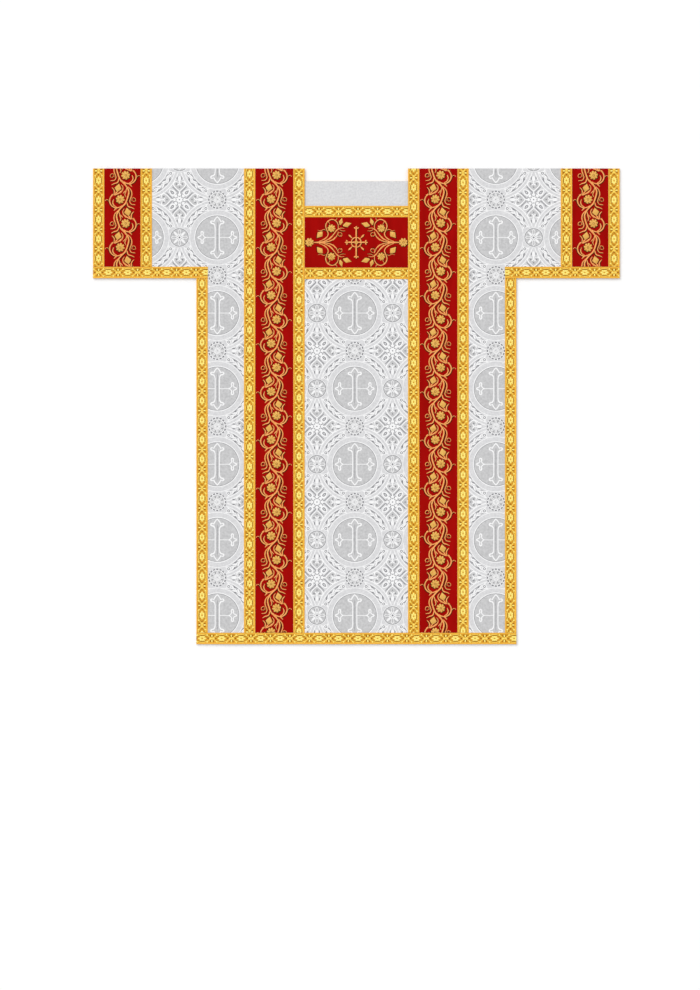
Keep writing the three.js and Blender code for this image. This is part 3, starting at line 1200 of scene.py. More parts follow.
DAMASK = (
    Finish("damask_ground", srgb(226, 226, 227), srgb(207, 207, 209), grain=0.004, thread=0.0009, rough=0.6,
           gloss=0.12),
    Finish("damask_line", srgb(250, 250, 250), srgb(238, 238, 239), grain=0.004, thread=0.0007, rough=0.5,
           gloss=0.15, weave=Weave.RIBS_ALONG),
    Finish("damask_disc", srgb(209, 209, 210), srgb(185, 185, 186), grain=0.005, thread=0.0016, rough=0.66,
           gloss=0.08, weave=Weave.RIBS_ACROSS, relief=0.0001),
    Finish("damask_accent", srgb(146, 146, 150), srgb(122, 122, 126), grain=0.004, thread=0.0009, rough=0.7,
           gloss=0.05, weave=Weave.RIBS_ACROSS),
)
GALLOON = (
    Finish("galloon_selvedge", srgb(250, 194, 66), srgb(236, 168, 42), grain=0.006, rough=0.42, metal=0.15,
           thread=0.0011, relief=0.00012, weave=Weave.RIBS_ACROSS),
    Finish("galloon_field", srgb(230, 173, 36), srgb(204, 137, 15), grain=0.003, rough=0.5, metal=0.15,
           thread=0.0009, relief=0.0001),
    Finish("galloon_flower", srgb(255, 246, 146), srgb(254, 226, 98), grain=0.003, rough=0.4, metal=0.1,
           thread=0.0007, relief=0.00008, weave=Weave.RIBS_ALONG),
    Finish("galloon_ribbon", srgb(255, 226, 104), srgb(246, 196, 62), grain=0.003, rough=0.4, metal=0.15,
           thread=0.0008, relief=0.00008, weave=Weave.RIBS_ACROSS),
    Finish("galloon_shade", srgb(146, 82, 0), srgb(112, 56, 0), grain=0.003, rough=0.6, metal=0.1, gloss=0.1,
           thread=0.0008, relief=0.00008, weave=Weave.RIBS_ACROSS),
)
ORPHREY = (
    Finish("orphrey_red", srgb(166, 9, 6), srgb(149, 6, 3), grain=0.03, stretch=(0.5, 3.0, 1.0), rough=0.75,
           gloss=0.03, thread=0.0012, relief=0.00006, weave=Weave.RIBS_ACROSS),
)
EMBROIDERY = (
    Finish("thread_stem", srgb(252, 178, 104), srgb(234, 146, 70), grain=0.004, rough=0.4, metal=0.1,
           thread=0.0006, relief=0.00008, weave=Weave.RIBS_ACROSS),
    # the dark brown below is painted shade: the flanks of strokes and the shadows of padded shapes on the
    # side away from the key light
    Finish("thread_shade", srgb(84, 30, 8), srgb(54, 16, 6), grain=0.004, rough=0.7, gloss=0.03,
           thread=0.0006, relief=0.00006, weave=Weave.RIBS_ACROSS),
    Finish("thread_flower", srgb(240, 190, 98), srgb(220, 158, 66), grain=0.005, rough=0.42, metal=0.15,
           thread=0.0006, relief=0.0001, weave=Weave.RIBS_ALONG),
    Finish("thread_heart", srgb(178, 126, 44), srgb(146, 96, 26), grain=0.004, rough=0.46, metal=0.15,
           thread=0.0006, relief=0.0001, weave=Weave.RIBS_ACROSS),
)


@dataclass
class Wardrobe:
    """The finishes that have been made, so that each is made once."""

    made: dict[str, bpy.types.Material] = field(default_factory=dict)

    def materials(self, finishes: Sequence[Finish]) -> list[bpy.types.Material]:
        """The materials of some finishes, in their order."""
        for finish in finishes:
            if finish.name not in self.made:
                self.made[finish.name] = finish.made()
        return [self.made[finish.name] for finish in finishes]


# ----------------------------------------------------------------------
# Pieces
# ----------------------------------------------------------------------

SHARP_EDGE = math.radians(42)
Pieces = dict[str, bpy.types.Object]


@dataclass
class Maker:
    """Turns patches into Blender pieces that ride on the garment's body."""

    wardrobe: Wardrobe = field(default_factory=Wardrobe)
    faces: int = 0

    def piece(
        self,
        name: str,
        patch: Patch,
        finishes: Sequence[Finish],
        slot: str,
        nodes: Sequence[str] = (),
    ) -> bpy.types.Object:
        """Makes one piece.

        Args:
            name: its name.
            patch: its shape, in millimetres.
            finishes: its list of finishes.
            slot: not used.
            nodes: the nodes that it stands for.

        Returns:
            The piece.
        """
        mesh = bpy.data.meshes.new(name)
        count = len(patch.triangles)
        mesh.vertices.add(len(patch.points))
        mesh.vertices.foreach_set("co", (patch.points * MM).astype(np.float32).ravel())
        mesh.loops.add(count * 3)
        mesh.loops.foreach_set("vertex_index", patch.triangles.astype(np.int32).ravel())
        mesh.polygons.add(count)
        mesh.polygons.foreach_set("loop_start", np.arange(0, count * 3, 3, dtype=np.int32))
        mesh.polygons.foreach_set("material_index", patch.finish.astype(np.int32))
        for material in self.wardrobe.materials(finishes):
            mesh.materials.append(material)
        mesh.update(calc_edges=True)
        mesh.validate()
        mesh.shade_smooth()
        mesh.set_sharp_from_angle(angle=SHARP_EDGE)
        piece = bpy.data.objects.new(name, mesh)
        bpy.context.scene.collection.objects.link(piece)
        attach(piece, "root")
        if nodes:
            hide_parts(*nodes)
        self.faces += count
        log.info("%s: %d triangles", name, count)
        return piece


# ----------------------------------------------------------------------
# Galloon
# ----------------------------------------------------------------------


class Run(Enum):
    """Which way a trim runs."""

    ACROSS = "along X"
    DOWN = "along Y"


class Braid(IntEnum):
    """The places of the galloon's finishes in its piece's list."""

    SELVEDGE = 0
    FIELD = 1
    FLOWER = 2
    RIBBON = 3
    SHADE = 4


def strip(
    section: Sequence[tuple[float, float, int]], start: float, end: float, station: float, half: float
) -> Patch:
    """A closed strip with a section that is the same all along.

    Args:
        section: the points of its face from -t to +t: t, a height and the finish of the face after it.
        start: where it starts.
        end: where it ends.
        station: the longest stretch between its points.
        half: half of its width at the foot.

    Returns:
        The strip along its first axis, with t along its second and its foot at height 0.
    """
    stations = np.array(filled([start, end], station))
    foot = [(half, 0.0, section[0][2]), (0.0, 0.0, section[0][2]), (-half, 0.0, section[0][2])]
    profile = [*section, *foot]
    k, n = len(profile), len(stations)
    across = np.array([(t, h) for t, h, _ in profile])
    points = np.column_stack([np.repeat(stations, k), np.tile(across, (n, 1))])
    kinds = np.array([finish for _, _, finish in profile])
    finish = np.repeat(np.tile(kinds, (n - 1, 1))[:, :, None], 2, axis=2)
    pivot, last = k - 2, (n - 1) * k
    fan = [(j, (j + 1) % k) for j in range(k) if pivot not in (j, (j + 1) % k)]
    caps = [(pivot, i, j) for i, j in fan] + [(last + pivot, last + j, last + i) for i, j in fan]
    triangles = np.concatenate([skin(n, k).reshape(-1, 3), np.array(caps)])
    return Patch(points, triangles, np.concatenate([finish.reshape(-1), np.full(len(caps), section[0][2])]))


def run_along(patch: Patch, run: Run, centre: float) -> Patch:
    """Moves a patch that runs along its first axis to where the trim is."""
    turned = patch if run is Run.ACROSS else patch.turned(90)
    return turned.moved((0, centre, 0) if run is Run.ACROSS else (centre, 0, 0))


@dataclass(frozen=True)
class GalloonPattern:
    """The braid's figure: a rosette in each lozenge that two crossing ribbons leave, between plain selvedges.

    All sizes are in millimetres. The figure runs along its first axis.
    """

    width: float = 25.7
    repeat: float = 43.83
    selvedge: float = 2.9
    field_height: float = 0.72
    cord_height: float = 1.15
    relief: float = 0.62
    sunk: float = 0.05
    cord_foot: float = 0.1
    ribbon_reach: float = 8.6
    ribbon_width: float = 2.0
    step: float = 3.4
    station: float = 15.0
    petals: int = 8

    def ground(self, start: float, end: float) -> Patch:
        """The braid's body: the field and its selvedges."""
        half, inner = self.width / 2, self.width / 2 - self.selvedge
        low, high = self.field_height, self.cord_height
        rounding = [(half, 0.25), (half - 0.35, high * 0.82), (half - 1.1, high), (inner + 0.5, high * 0.92)]
        face = [(-t, h, Braid.SELVEDGE) for t, h in rounding]
        face += [(-inner, low, Braid.FIELD), (0.0, low, Braid.FIELD), (inner, low, Braid.SELVEDGE)]
        face += [(t, h, Braid.SELVEDGE) for t, h in reversed(rounding)]
        return strip(face, start, end, self.station, half)

    def cord(self, path: Array, half: Array, share: float, finish: Braid) -> Patch:
        """A cord along a path, with a share of the figure's relief."""
        return ridge(path, half, self.relief * share, finish, finish, self.cord_foot, 0.0)

    def petal(self, outline: Array, share: float, finish: Braid) -> Patch:
        """A raised petal or leaf, with a share of the figure's relief."""
        return pillow(outline, self.relief * share, finish, LOW_PLUMP)

    def ribbon(self, start: float, end: float, phase: float, sign: int) -> Patch:
        """One of the two wavy ribbons, all along."""
        count = math.ceil((end - start) / self.step) + 1
        s = np.linspace(start, end, count)
        wave = sign * self.ribbon_reach * np.cos(np.pi * (s - phase) / self.repeat)
        half = np.full(count, self.ribbon_width / 2)
        return self.cord(np.column_stack([s, wave]), half, 0.9 if sign > 0 else 1.0, Braid.RIBBON)

    def rosette(self) -> Patch:
        """A rosette of petals, longer along the braid, between two dark lines."""
        parts = []
        for sign in (-1, 1):
            s = np.linspace(-0.36, 0.36, 8) * self.repeat
            path = np.column_stack([s, sign * (self.ribbon_reach * np.cos(np.pi * s / self.repeat) - 1.4)])
            parts.append(self.cord(path, tapered(len(s), 1.9, 0.2, 0.2), 0.4, Braid.SHADE))
        for k in range(self.petals):
            angle = 360 / self.petals * k
            lengthways = abs(math.cos(math.radians(angle)))
            reach = 6.0 + 4.0 * lengthways**2
            outline = leaf_outline(reach - 1.0, 4.6 if k % 2 == 0 else 4.2, 4, 0.6) + (1.0, 0)
            parts.append(self.petal(placed(outline, (0, 0), angle), 1.0, Braid.FLOWER))
        parts.append(self.petal(star_outline(4, 1.9, 1.6, 2), 1.25, Braid.FIELD))
        return joined(parts)

    def knot(self) -> Patch:
        """The leaves round a crossing of the ribbons."""
        leaves = [(6.4, angle, 4.4, 2.6, Braid.SHADE) for angle in (0, 180)]
        leaves += [(2.6, angle, 7.6, 2.2, Braid.SHADE) for angle in (62, 118, 242, 298)]
        leaves += [(2.2, angle, 7.0, 3.8, Braid.FLOWER) for angle in (90, 270)]
        leaves += [(2.0, angle, 4.4, 2.8, Braid.FLOWER) for angle in (0, 180)]
        parts = []
        for start, angle, length, width, finish in leaves:
            outline = placed(leaf_outline(length, width, 4) + (start, 0), (0, 0), angle)
            parts.append(self.petal(outline, 0.4 if finish is Braid.SHADE else 0.85, finish))
        for sx in (-1, 1):
            for sy in (-1, 1):
                outline = placed(leaf_outline(5.6, 2.6, 4), (sx * 8.2, sy * 6.4), 90 - sx * (90 - sy * 36))
                parts.append(self.petal(outline, 0.8, Braid.FLOWER))
        return joined(parts)

    def figure(self, start: float, end: float, phase: float) -> Patch:
        """The raised figure between two ends, trimmed to them.

        Args:
            start: where the braid starts.
            end: where it ends.
            phase: the place of one rosette.

        Returns:
            The figure, over height 0.
        """
        over, reach = 3.0, 9.0
        parts = [self.ribbon(start - over, end + over, phase, sign) for sign in (1, -1)]
        first = math.floor((start - phase) / self.repeat) - 1
        last = math.ceil((end - phase) / self.repeat) + 1
        rosette, knot = self.rosette(), self.knot()
        for k in range(first, last + 1):
            for shape, at in ((rosette, phase + k * self.repeat), (knot, phase + (k + 0.5) * self.repeat)):
                if start - reach < at < end + reach:
                    parts.append(shape.moved((at, 0, 0)))
        whole = cut_flat(joined(parts), 0, start, 1)
        return cut_flat(whole, 0, end, -1)

    def braid(self, start: float, end: float, phase: float) -> Patch:
        """A whole length of galloon, with its foot at height 0."""
        raised = self.figure(start, end, phase).moved((0, 0, self.field_height - self.sunk))
        return joined([self.ground(start, end), raised])


# ----------------------------------------------------------------------
# The two faces of the garment
# ----------------------------------------------------------------------


@dataclass(frozen=True)
class Face:
    """The front or the back, planned as if it were seen from outside with its heights towards the eye.

    cloth is the height of the damask where it shows, covered its height under the trims and trim_foot the
    height that the trims start from. The shares say how much of its full relief a braid or a stitch has.
    """

    word: str
    neck_drop: float
    outward: int
    cloth: HeightOf
    covered: HeightOf
    trim_foot: HeightOf
    braid_share: float
    band_thickness: float
    stitch_share: float

    @property
    def neck_edge(self) -> float:
        """The place of the neck's edge, along Y."""
        return CUT.shoulder - self.neck_drop

    @property
    def band_top(self) -> float:
        """The upper edge of the band across the chest or the shoulders."""
        return self.neck_edge - CUT.galloon_width

    @property
    def band_foot(self) -> float:
        """The lower edge of that band."""
        return self.band_top - CUT.cross_band_depth

    def node(self, name: str) -> str:
        """The name of a node or a piece on this face."""
        return f"{self.word}_{name}"

    def settled(self, patch: Patch) -> Patch:
        """A patch in the garment's own frame."""
        return patch if self.outward > 0 else patch.mirrored(2)


ROLL_RUN = 3.0


def back_cloth(x: Array, y: Array) -> Array:
    """How far the back's damask lies outward where it shows: it turns up along the shoulder seam."""
    start = CUT.shoulder - CUT.seam_roll - ROLL_RUN
    return -CUT.lift * smooth((y - start) / ROLL_RUN) - 0 * x


FRONT = Face(
    word="front",
    neck_drop=CUT.front_neck_drop,
    outward=1,
    cloth=front_over,
    covered=front_over,
    trim_foot=lambda x, y: front_over(x, y) + CUT.seam_gap,
    braid_share=1.0,
    band_thickness=1.0,
    stitch_share=1.0,
)
BACK = Face(
    word="back",
    neck_drop=CUT.back_neck_drop,
    outward=-1,
    cloth=back_cloth,
    covered=level(-CUT.lift),
    trim_foot=level(-CUT.trim),
    braid_share=0.9,
    band_thickness=0.5,
    stitch_share=0.52,
)

# ----------------------------------------------------------------------
# Damask panels
# ----------------------------------------------------------------------


@dataclass(frozen=True)
class DamaskPanels:
    """The three damask panels of one face: the figure where they show, plain cloth under the trims."""

    cell: DamaskCell = DamaskCell()
    medallion_row: float = 209.8
    centre_column: float = -3.6
    side_columns: tuple[float, float] = (-312.75, 313.7)
    tuck: float = 3.0
    station: float = 24.0

    def cloth(self, face: Face, shown: Sequence[Rect], hidden: Sequence[Rect], column: float) -> Patch:
        """A panel from what of it shows and what of it is covered."""
        flat = self.cell.field((column, self.medallion_row), shown)
        thick = CUT.cloth
        seen = backed(flat.laid_on(face.cloth), lambda x, y: face.cloth(x, y) - thick, Tone.GROUND)
        under = wall(hidden, lambda x, y: face.covered(x, y) - thick, face.covered, Tone.GROUND, self.station)
        return face.settled(joined([seen, under]))

    def centre(self, face: Face) -> Patch:
        """The centre panel."""
        t, gap, side = self.tuck, CUT.rim, CUT.neck
        seam, neck = CUT.panel_seam - gap, face.neck_edge - gap
        foot, top = CUT.hem + gap, CUT.shoulder - gap
        low, high = CUT.hem + CUT.galloon_width, face.band_foot - CUT.galloon_width
        shown = [Rect(-side - t, side + t, low - t, high + t)]
        hidden = [
            Rect(-seam, -side - 2 * t, foot, top),
            Rect(side + 2 * t, seam, foot, top),
            Rect(-side - 2 * t, side + 2 * t, foot, low - 2 * t),
            Rect(-side + gap, side - gap, high + 2 * t, neck),
            Rect(-side - 2 * t, -side + gap, high + 2 * t, neck),
            Rect(side - gap, side + 2 * t, high + 2 * t, neck),
        ]
        return self.cloth(face, shown, hidden, self.centre_column)

    def side(self, face: Face, side: Side) -> Patch:
        """A side panel with its sleeve."""
        t, gap, g = self.tuck, CUT.rim, CUT.galloon_width
        foot, top = CUT.hem + gap, CUT.shoulder - gap
        inner = CUT.neck + CUT.clavus_width
        edge, cuff, armpit = CUT.side - gap, CUT.cuff - gap, CUT.underarm + gap
        sleeve_band = CUT.cuff - CUT.sleeve_band_width
        roll = CUT.shoulder - CUT.seam_roll
        body_end, low, arm_low = CUT.side - g, CUT.hem + g, CUT.underarm + g
        rows = (low - t, arm_low - t, roll - ROLL_RUN, roll, top)
        shown = [Rect(inner - t, body_end + t, a, b) for a, b in zip(rows, rows[1:])]
        shown += [Rect(body_end + t, sleeve_band + t, a, b) for a, b in zip(rows[1:], rows[2:])]
        hidden = [
            Rect(CUT.panel_seam + gap, inner - 2 * t, foot, top),
            Rect(inner - 2 * t, edge, foot, low - 2 * t),
            Rect(body_end + 2 * t, edge, low - 2 * t, armpit),
            Rect(body_end + 2 * t, sleeve_band + 2 * t, armpit, arm_low - 2 * t),
            Rect(sleeve_band + 2 * t, cuff, armpit, top),
        ]
        column = self.side_columns[0 if side is Side.LEFT else 1]
        return self.cloth(face, [r.on_side(side) for r in shown], [r.on_side(side) for r in hidden], column)


# ----------------------------------------------------------------------
# Galloon trims
# ----------------------------------------------------------------------


@dataclass(frozen=True)
class Trim:
    """One length of galloon: its name, which way it runs, where, and the place of one of its rosettes."""

    name: str
    run: Run
    centre: float
    start: float
    end: float
    phase: float


@dataclass(frozen=True)
class Galloons:
    """All the lengths of galloon on one face."""

    pattern: GalloonPattern = GalloonPattern()

    def lengths(self, face: Face) -> list[Trim]:
        """Where each length lies."""
        half = CUT.galloon_width / 2
        low, top = CUT.hem + CUT.galloon_width, CUT.shoulder
        across = [
            Trim("hem_galloon", Run.ACROSS, CUT.hem + half, -CUT.side, CUT.side, 4.0),
            Trim("neck_galloon", Run.ACROSS, face.neck_edge - half, -CUT.neck, CUT.neck, -18.1),
            Trim("cross_band_galloon", Run.ACROSS, face.band_foot - half, -CUT.neck, CUT.neck, 6.0),
        ]
        for side in Side:
            w = side.word
            inner, outer = CUT.neck + half, CUT.neck + CUT.clavus_width - half
            cuff_inner, cuff_outer = CUT.cuff - CUT.sleeve_band_width + half, CUT.cuff - half
            arm_low = CUT.underarm + CUT.galloon_width
            arm = sorted((side * (CUT.side - CUT.galloon_width), side * CUT.cuff))
            inner_phase, outer_phase = (501.4, 478.5) if side is Side.LEFT else (492.0, 502.9)
            across += [
                Trim(f"clavus_{w}_galloon_inner", Run.DOWN, side * inner, low, top, inner_phase),
                Trim(f"clavus_{w}_galloon_outer", Run.DOWN, side * outer, low, top, outer_phase),
                Trim(f"sleeve_band_{w}_galloon_inner", Run.DOWN, side * cuff_inner, arm_low, top, 420.0),
                Trim(f"sleeve_band_{w}_galloon_outer", Run.DOWN, side * cuff_outer, arm_low, top, 420.0),
                Trim(f"underarm_galloon_{w}", Run.ACROSS, CUT.underarm + half, arm[0], arm[1], side * 470.0),
                Trim(f"side_galloon_{w}", Run.DOWN, side * (CUT.side - half), low, CUT.underarm, 100.0),
            ]
        return across

    def braid(self, face: Face, trim: Trim) -> Patch:
        """One length in its place."""
        flat = self.pattern.braid(trim.start + CUT.rim, trim.end - CUT.rim, trim.phase)
        placed_braid = run_along(flat.flattened(face.braid_share), trim.run, trim.centre)
        return face.settled(placed_braid.laid_on(face.trim_foot))


# ----------------------------------------------------------------------
# Orphreys and their embroidery
# ----------------------------------------------------------------------


FULL_WIDTH = 2.6  # a stroke of at least this width stands at its full height


@dataclass(frozen=True)
class Stroke:
    """One stroke of satin stitch through some points, in millimetres, with its width and its ends' shares."""

    points: tuple[Point, ...]
    width: float
    start: float
    end: float


@dataclass(frozen=True)
class Embroidery:
    """The shapes that a needle makes: strokes, curls, leaves and blossoms, raised from the band.

    height is how high the stitches stand, step how far apart the points of a stroke are, curl_step the share
    of that in a curl and lobes how many a blossom has. shadow_rise is the share of the height that the
    painted
    shadow round a padded shape has: a low pillow of dark thread. Its reach is given shape by shape:
    shadow_growth is the share of it that goes all round and shadow_shift the share towards the side away from
    the key light.
    """

    height: float = 1.15
    step: float = 2.4
    curl_step: float = 0.8
    lobes: int = 8
    shadow_rise: float = 0.35
    shadow_growth: float = 0.6
    shadow_shift: float = 0.9

    def along(self, path: Array, width: float, start: float, end: float, swell_at: float = 0.4) -> Patch:
        """A stroke along a path."""
        half = tapered(len(path), width, start, end, swell_at)
        return ridge(path, half, self.height * min(1.0, width / FULL_WIDTH), Thread.STEM, Thread.SHADE)

    def stroke(self, stroke: Stroke) -> Patch:
        """A stroke through its points."""
        return self.along(through(stroke.points, self.step), stroke.width, stroke.start, stroke.end)

    def curl(self, centre: Point, radius: float | Point, sweep: Point, width: float, ends: Point) -> Patch:
        """A small stroke along an arc or a spiral, between two angles."""
        return self.along(arc(centre, radius, *sweep, self.step * self.curl_step), width, *ends)

    def shadow(self, outline: Array, grow: float) -> Patch:
        """A painted shadow round a padded shape: a low dark pillow, grown and moved towards the side away
        from the key light.
        """
        middle = outline.mean(0)
        reach = np.linalg.norm(outline - middle, axis=1).mean()
        size = 1 + self.shadow_growth * grow / reach
        # the dark pillow is moved towards the side away from the key light: a painted shadow
        spread = middle + (outline - middle) * size + PAINTED_SHADE_TOWARDS * grow * self.shadow_shift
        return pillow(spread, self.height * self.shadow_rise, Thread.SHADE, FLAT_PLUMP)

    def padded(self, outline: Array, grow: float, thread: Thread, rings: Sequence[Point]) -> Patch:
        """A padded shape over its painted shadow."""
        return joined([self.shadow(outline, grow), pillow(outline, self.height, thread, rings)])

    def blossom(self, at: Sequence[float], radius: float, turn: float = 0.0) -> Patch:
        """A blossom of veined lobes round a dark ring and a light heart."""
        outline = placed(star_outline(self.lobes, radius, radius * 0.74, 4), at, turn)
        parts = [self.padded(outline, 1.3, Thread.FLOWER, PLUMP)]
        for k in range(self.lobes):
            angle = turn + 360 / self.lobes * k + 180 / self.lobes
            vein = placed(leaf_outline(radius * 0.5, 1.5, 3) + (radius * 0.4, 0), at, angle)
            parts.append(pillow(vein, self.height * 1.08, Thread.HEART, LOW_PLUMP))
        for size, rise, thread in ((0.52, 1.16, Thread.HEART), (0.24, 1.3, Thread.FLOWER)):
            heart = placed(star_outline(5, radius * size, radius * size * 0.78, 2), at, turn)
            parts.append(pillow(heart, self.height * rise, thread, LOW_PLUMP))
        return joined(parts)

    def bud(self, foot: Sequence[float], tip: Sequence[float], width: float) -> Patch:
        """A four-sided bud from its foot to its tip, split by a vein."""
        foot_at, tip_at = np.asarray(foot, float), np.asarray(tip, float)
        way = tip_at - foot_at
        length = float(np.linalg.norm(way))
        angle = math.degrees(math.atan2(way[1], way[0]))
        half = width / 2
        side = [(0, -1.2), (0.2 * length, -half * 0.62), (0.42 * length, -half)]
        side += [(0.54 * length, -half * 0.84), (0.78 * length, -half * 0.4), (length, 0)]
        shape = self.padded(placed(both_halves(side), foot_at, angle), 1.2, Thread.FLOWER, PLUMP)
        vein = placed(leaf_outline(length * 0.7, 1.2, 3) + (length * 0.12, 0), foot_at, angle)
        return joined([shape, pillow(vein, self.height * 1.06, Thread.HEART, LOW_PLUMP)])


@dataclass(frozen=True)
class Vine(Embroidery):
    """The vine that runs down a band: blossoms lie in its loops, by turns on one side and on the other.

    A half of its period is planned with p to the right, q up and the blossom's row at q = 0; the next half is
    the same, mirrored in p. Both repeat down the band.
    """

    half_period: float = 54.1
    shift: float = -0.9
    stem_width: float = 3.9
    stem: tuple[Point, ...] = ((-13.7, 17.5), (-10.7, 3.0), (-5.7, -9.5), (0.0, -15.5), (8.5, -25.0))
    strokes: tuple[Stroke, ...] = (
        Stroke(((18.8, 9.0), (8.3, 14.0), (1.3, 21.0), (0.3, 28.0), (3.8, 33.0)), 3.2, 0.8, 0.35),
        Stroke(((20.3, 10.0), (19.3, 18.0), (20.8, 22.0), (24.8, 26.5)), 3.0, 0.9, 0.4),
        Stroke(((18.8, 10.0), (15.6, 14.0), (12.3, 17.5)), 2.8, 0.9, 0.7),
        Stroke(((-10.2, 29.0), (-17.7, 21.0), (-19.7, 11.0), (-16.7, 1.0), (-15.2, -5.0), (-18.7, -11.0),
                (-27.7, -12.5)), 2.9, 0.6, 0.5),
        Stroke(((-8.5, -7.0), (-11.7, -16.0), (-19.7, -19.0), (-25.7, -22.0)), 3.0, 0.8, 0.4),
        Stroke(((-9.2, 29.0), (-6.7, 20.0), (-0.2, 13.5)), 2.8, 0.6, 0.3),
        Stroke(((-7.7, 19.0), (-4.2, 11.0), (-6.7, 5.0)), 2.6, 0.5, 0.4),
        Stroke(((12.3, -19.0), (16.6, -21.2), (20.3, -25.5)), 3.0, 0.7, 0.5),
        Stroke(((20.8, 0.5), (23.2, -6.5), (20.6, -13.5), (14.5, -17.5)), 3.0, 0.4, 0.6),
    )

    def motif(self) -> Patch:
        """Half a period without the stem."""
        parts = [self.stroke(s) for s in self.strokes]
        loop = arc((13.8, -3.0), 16.3, -135, 60, self.step)
        parts.append(self.along(loop, 3.3, 0.6, 0.9))
        parts.append(self.curl((36.1, -5.5), 4.4, (180, 30), 2.2, (0.8, 0.4)))
        parts.append(self.curl((-23.9, -1.5), (4.9, 3.4), (-30, 330), 2.5, (0.8, 0.6)))
        parts.append(self.blossom((6.3, 0.0), 10.6, 11.0))
        parts.append(self.bud((12.6, 17.0), (8.9, 35.8), 16.4))
        return joined(parts)

    def run(self, low: float, high: float, row: float) -> Patch:
        """The vine between two ends, trimmed to them.

        Args:
            low: its lower end.
            high: its upper end.
            row: the place of a blossom that faces right.

        Returns:
            The vine, over height 0, along Y.
        """
        reach = 40.0
        first = math.floor((low - reach - row) / self.half_period)
        last = math.ceil((high + reach - row) / self.half_period)
        right = self.motif()
        left = right.mirrored(0)
        parts, route = [], []
        for k in range(last, first - 1, -1):
            at, facing = row + k * self.half_period, 1 if k % 2 == 0 else -1
            route += [(facing * p, q + at) for p, q in self.stem]
            if low - reach < at < high + reach:
                parts.append((right if facing > 0 else left).moved((0, at, 0)))
        path = through(route, self.step)
        past = 6.0
        path = path[(path[:, 1] > low - past) & (path[:, 1] < high + past)]
        half = np.full(len(path), self.stem_width / 2)
        parts.append(ridge(path, half, self.height * 1.1, Thread.STEM, Thread.SHADE))
        whole = cut_flat(joined(parts), 1, low, 1)
        return cut_flat(whole, 1, high, -1).moved((self.shift, 0, 0))


@dataclass(frozen=True)
class ChestPanel(Embroidery):
    """Four sprays round a plain cross, planned from the middle of the band with p outwards and q up."""

    strokes: tuple[Stroke, ...] = (
        Stroke(((97.0, 0.0), (84.0, 0.3), (70.0, 1.0)), 3.4, 0.8, 0.8),
        Stroke(((74.0, 0.4), (61.0, 2.4), (52.0, 6.6), (45.8, 12.8), (42.4, 19.0), (40.6, 24.0)),
               2.6, 0.6, 0.7),
        Stroke(((76.0, 1.4), (66.4, 4.8), (57.8, 10.6), (51.0, 18.8), (44.2, 27.2), (36.0, 31.8),
                (27.6, 31.2)), 2.8, 0.6, 0.35),
        Stroke(((38.6, 28.6), (31.6, 25.4), (24.6, 26.0)), 2.0, 0.7, 0.4),
        Stroke(((84.0, 2.0), (73.6, 6.4), (66.2, 12.6), (63.6, 20.0), (66.8, 28.0), (69.2, 37.0),
                (65.6, 46.0), (55.4, 51.4), (46.8, 48.4), (41.4, 40.6), (41.0, 31.0)), 2.8, 0.5, 0.6),
        Stroke(((63.6, 46.0), (60.2, 40.6), (62.4, 35.0)), 2.0, 0.7, 0.4),
        Stroke(((47.4, 49.6), (44.8, 52.4), (44.6, 56.2)), 2.2, 0.8, 0.4),
        Stroke(((66.0, 26.2), (73.6, 28.4), (79.6, 25.6), (86.4, 27.2)), 2.4, 0.8, 0.4),
    )

    def spray(self) -> Patch:
        """The spray of the upper right quarter."""
        parts = [self.stroke(s) for s in self.strokes]
        parts.append(self.curl((37.0, 17.8), (4.8, 3.8), (30, -300), 2.2, (0.8, 0.7)))
        parts.append(self.blossom((56.2, 31.6), 9.4, 8.0))
        parts.append(self.bud((76.6, 24.4), (89.4, 9.4), 14.4))
        parts.append(self.bud((36.8, 38.6), (32.4, 55.6), 9.6))
        parts.append(self.bud((30.6, 37.2), (10.6, 43.2), 12.6))
        return joined(parts)

    def sprays(self) -> Patch:
        """All four sprays and the blossoms at their ends."""
        upper = self.spray()
        right = joined([upper, upper.mirrored(1), self.blossom((105.8, 0.0), 10.4, 22.5)])
        return joined([right, right.mirrored(0)])

    def cross(self) -> Patch:
        """A plain cross with flared ends, rays between its arms and a ring round its middle."""
        parts = []
        for angle, length in ((0, 23.0), (90, 34.0), (180, 23.0), (270, 34.0)):
            arm = np.array([(0.0, 0.0), (length * 0.5, 0.0), (length - 2.0, 0.0)])
            path = placed(through(arm, self.step), (0, 0), angle)
            parts.append(self.along(path, 3.6, 1.0, 0.9, 0.5))
            for turn in (-62, 0, 62):
                end = placed(placed(leaf_outline(6.8, 4.2, 4, 0.6), (length - 3.4, 0), turn), (0, 0), angle)
                parts.append(self.padded(end, 0.8, Thread.STEM, LOW_PLUMP))
        for angle in range(45, 360, 90):
            ray = placed(leaf_outline(17.0, 4.6, 5, 0.7) + (9.0, 0), (0, 0), angle)
            parts.append(self.padded(ray, 1.0, Thread.STEM, LOW_PLUMP))
        ring = arc((0, 0), 11.0, 0, 360, self.step)
        parts.append(self.along(ring, 2.6, 1.0, 1.0, 0.5))
        parts.append(self.blossom((0.0, 0.0), 5.0))
        return joined(parts)

    def work(self) -> Patch:
        """All of the band's embroidery, over height 0."""
        return joined([self.sprays(), self.cross()])


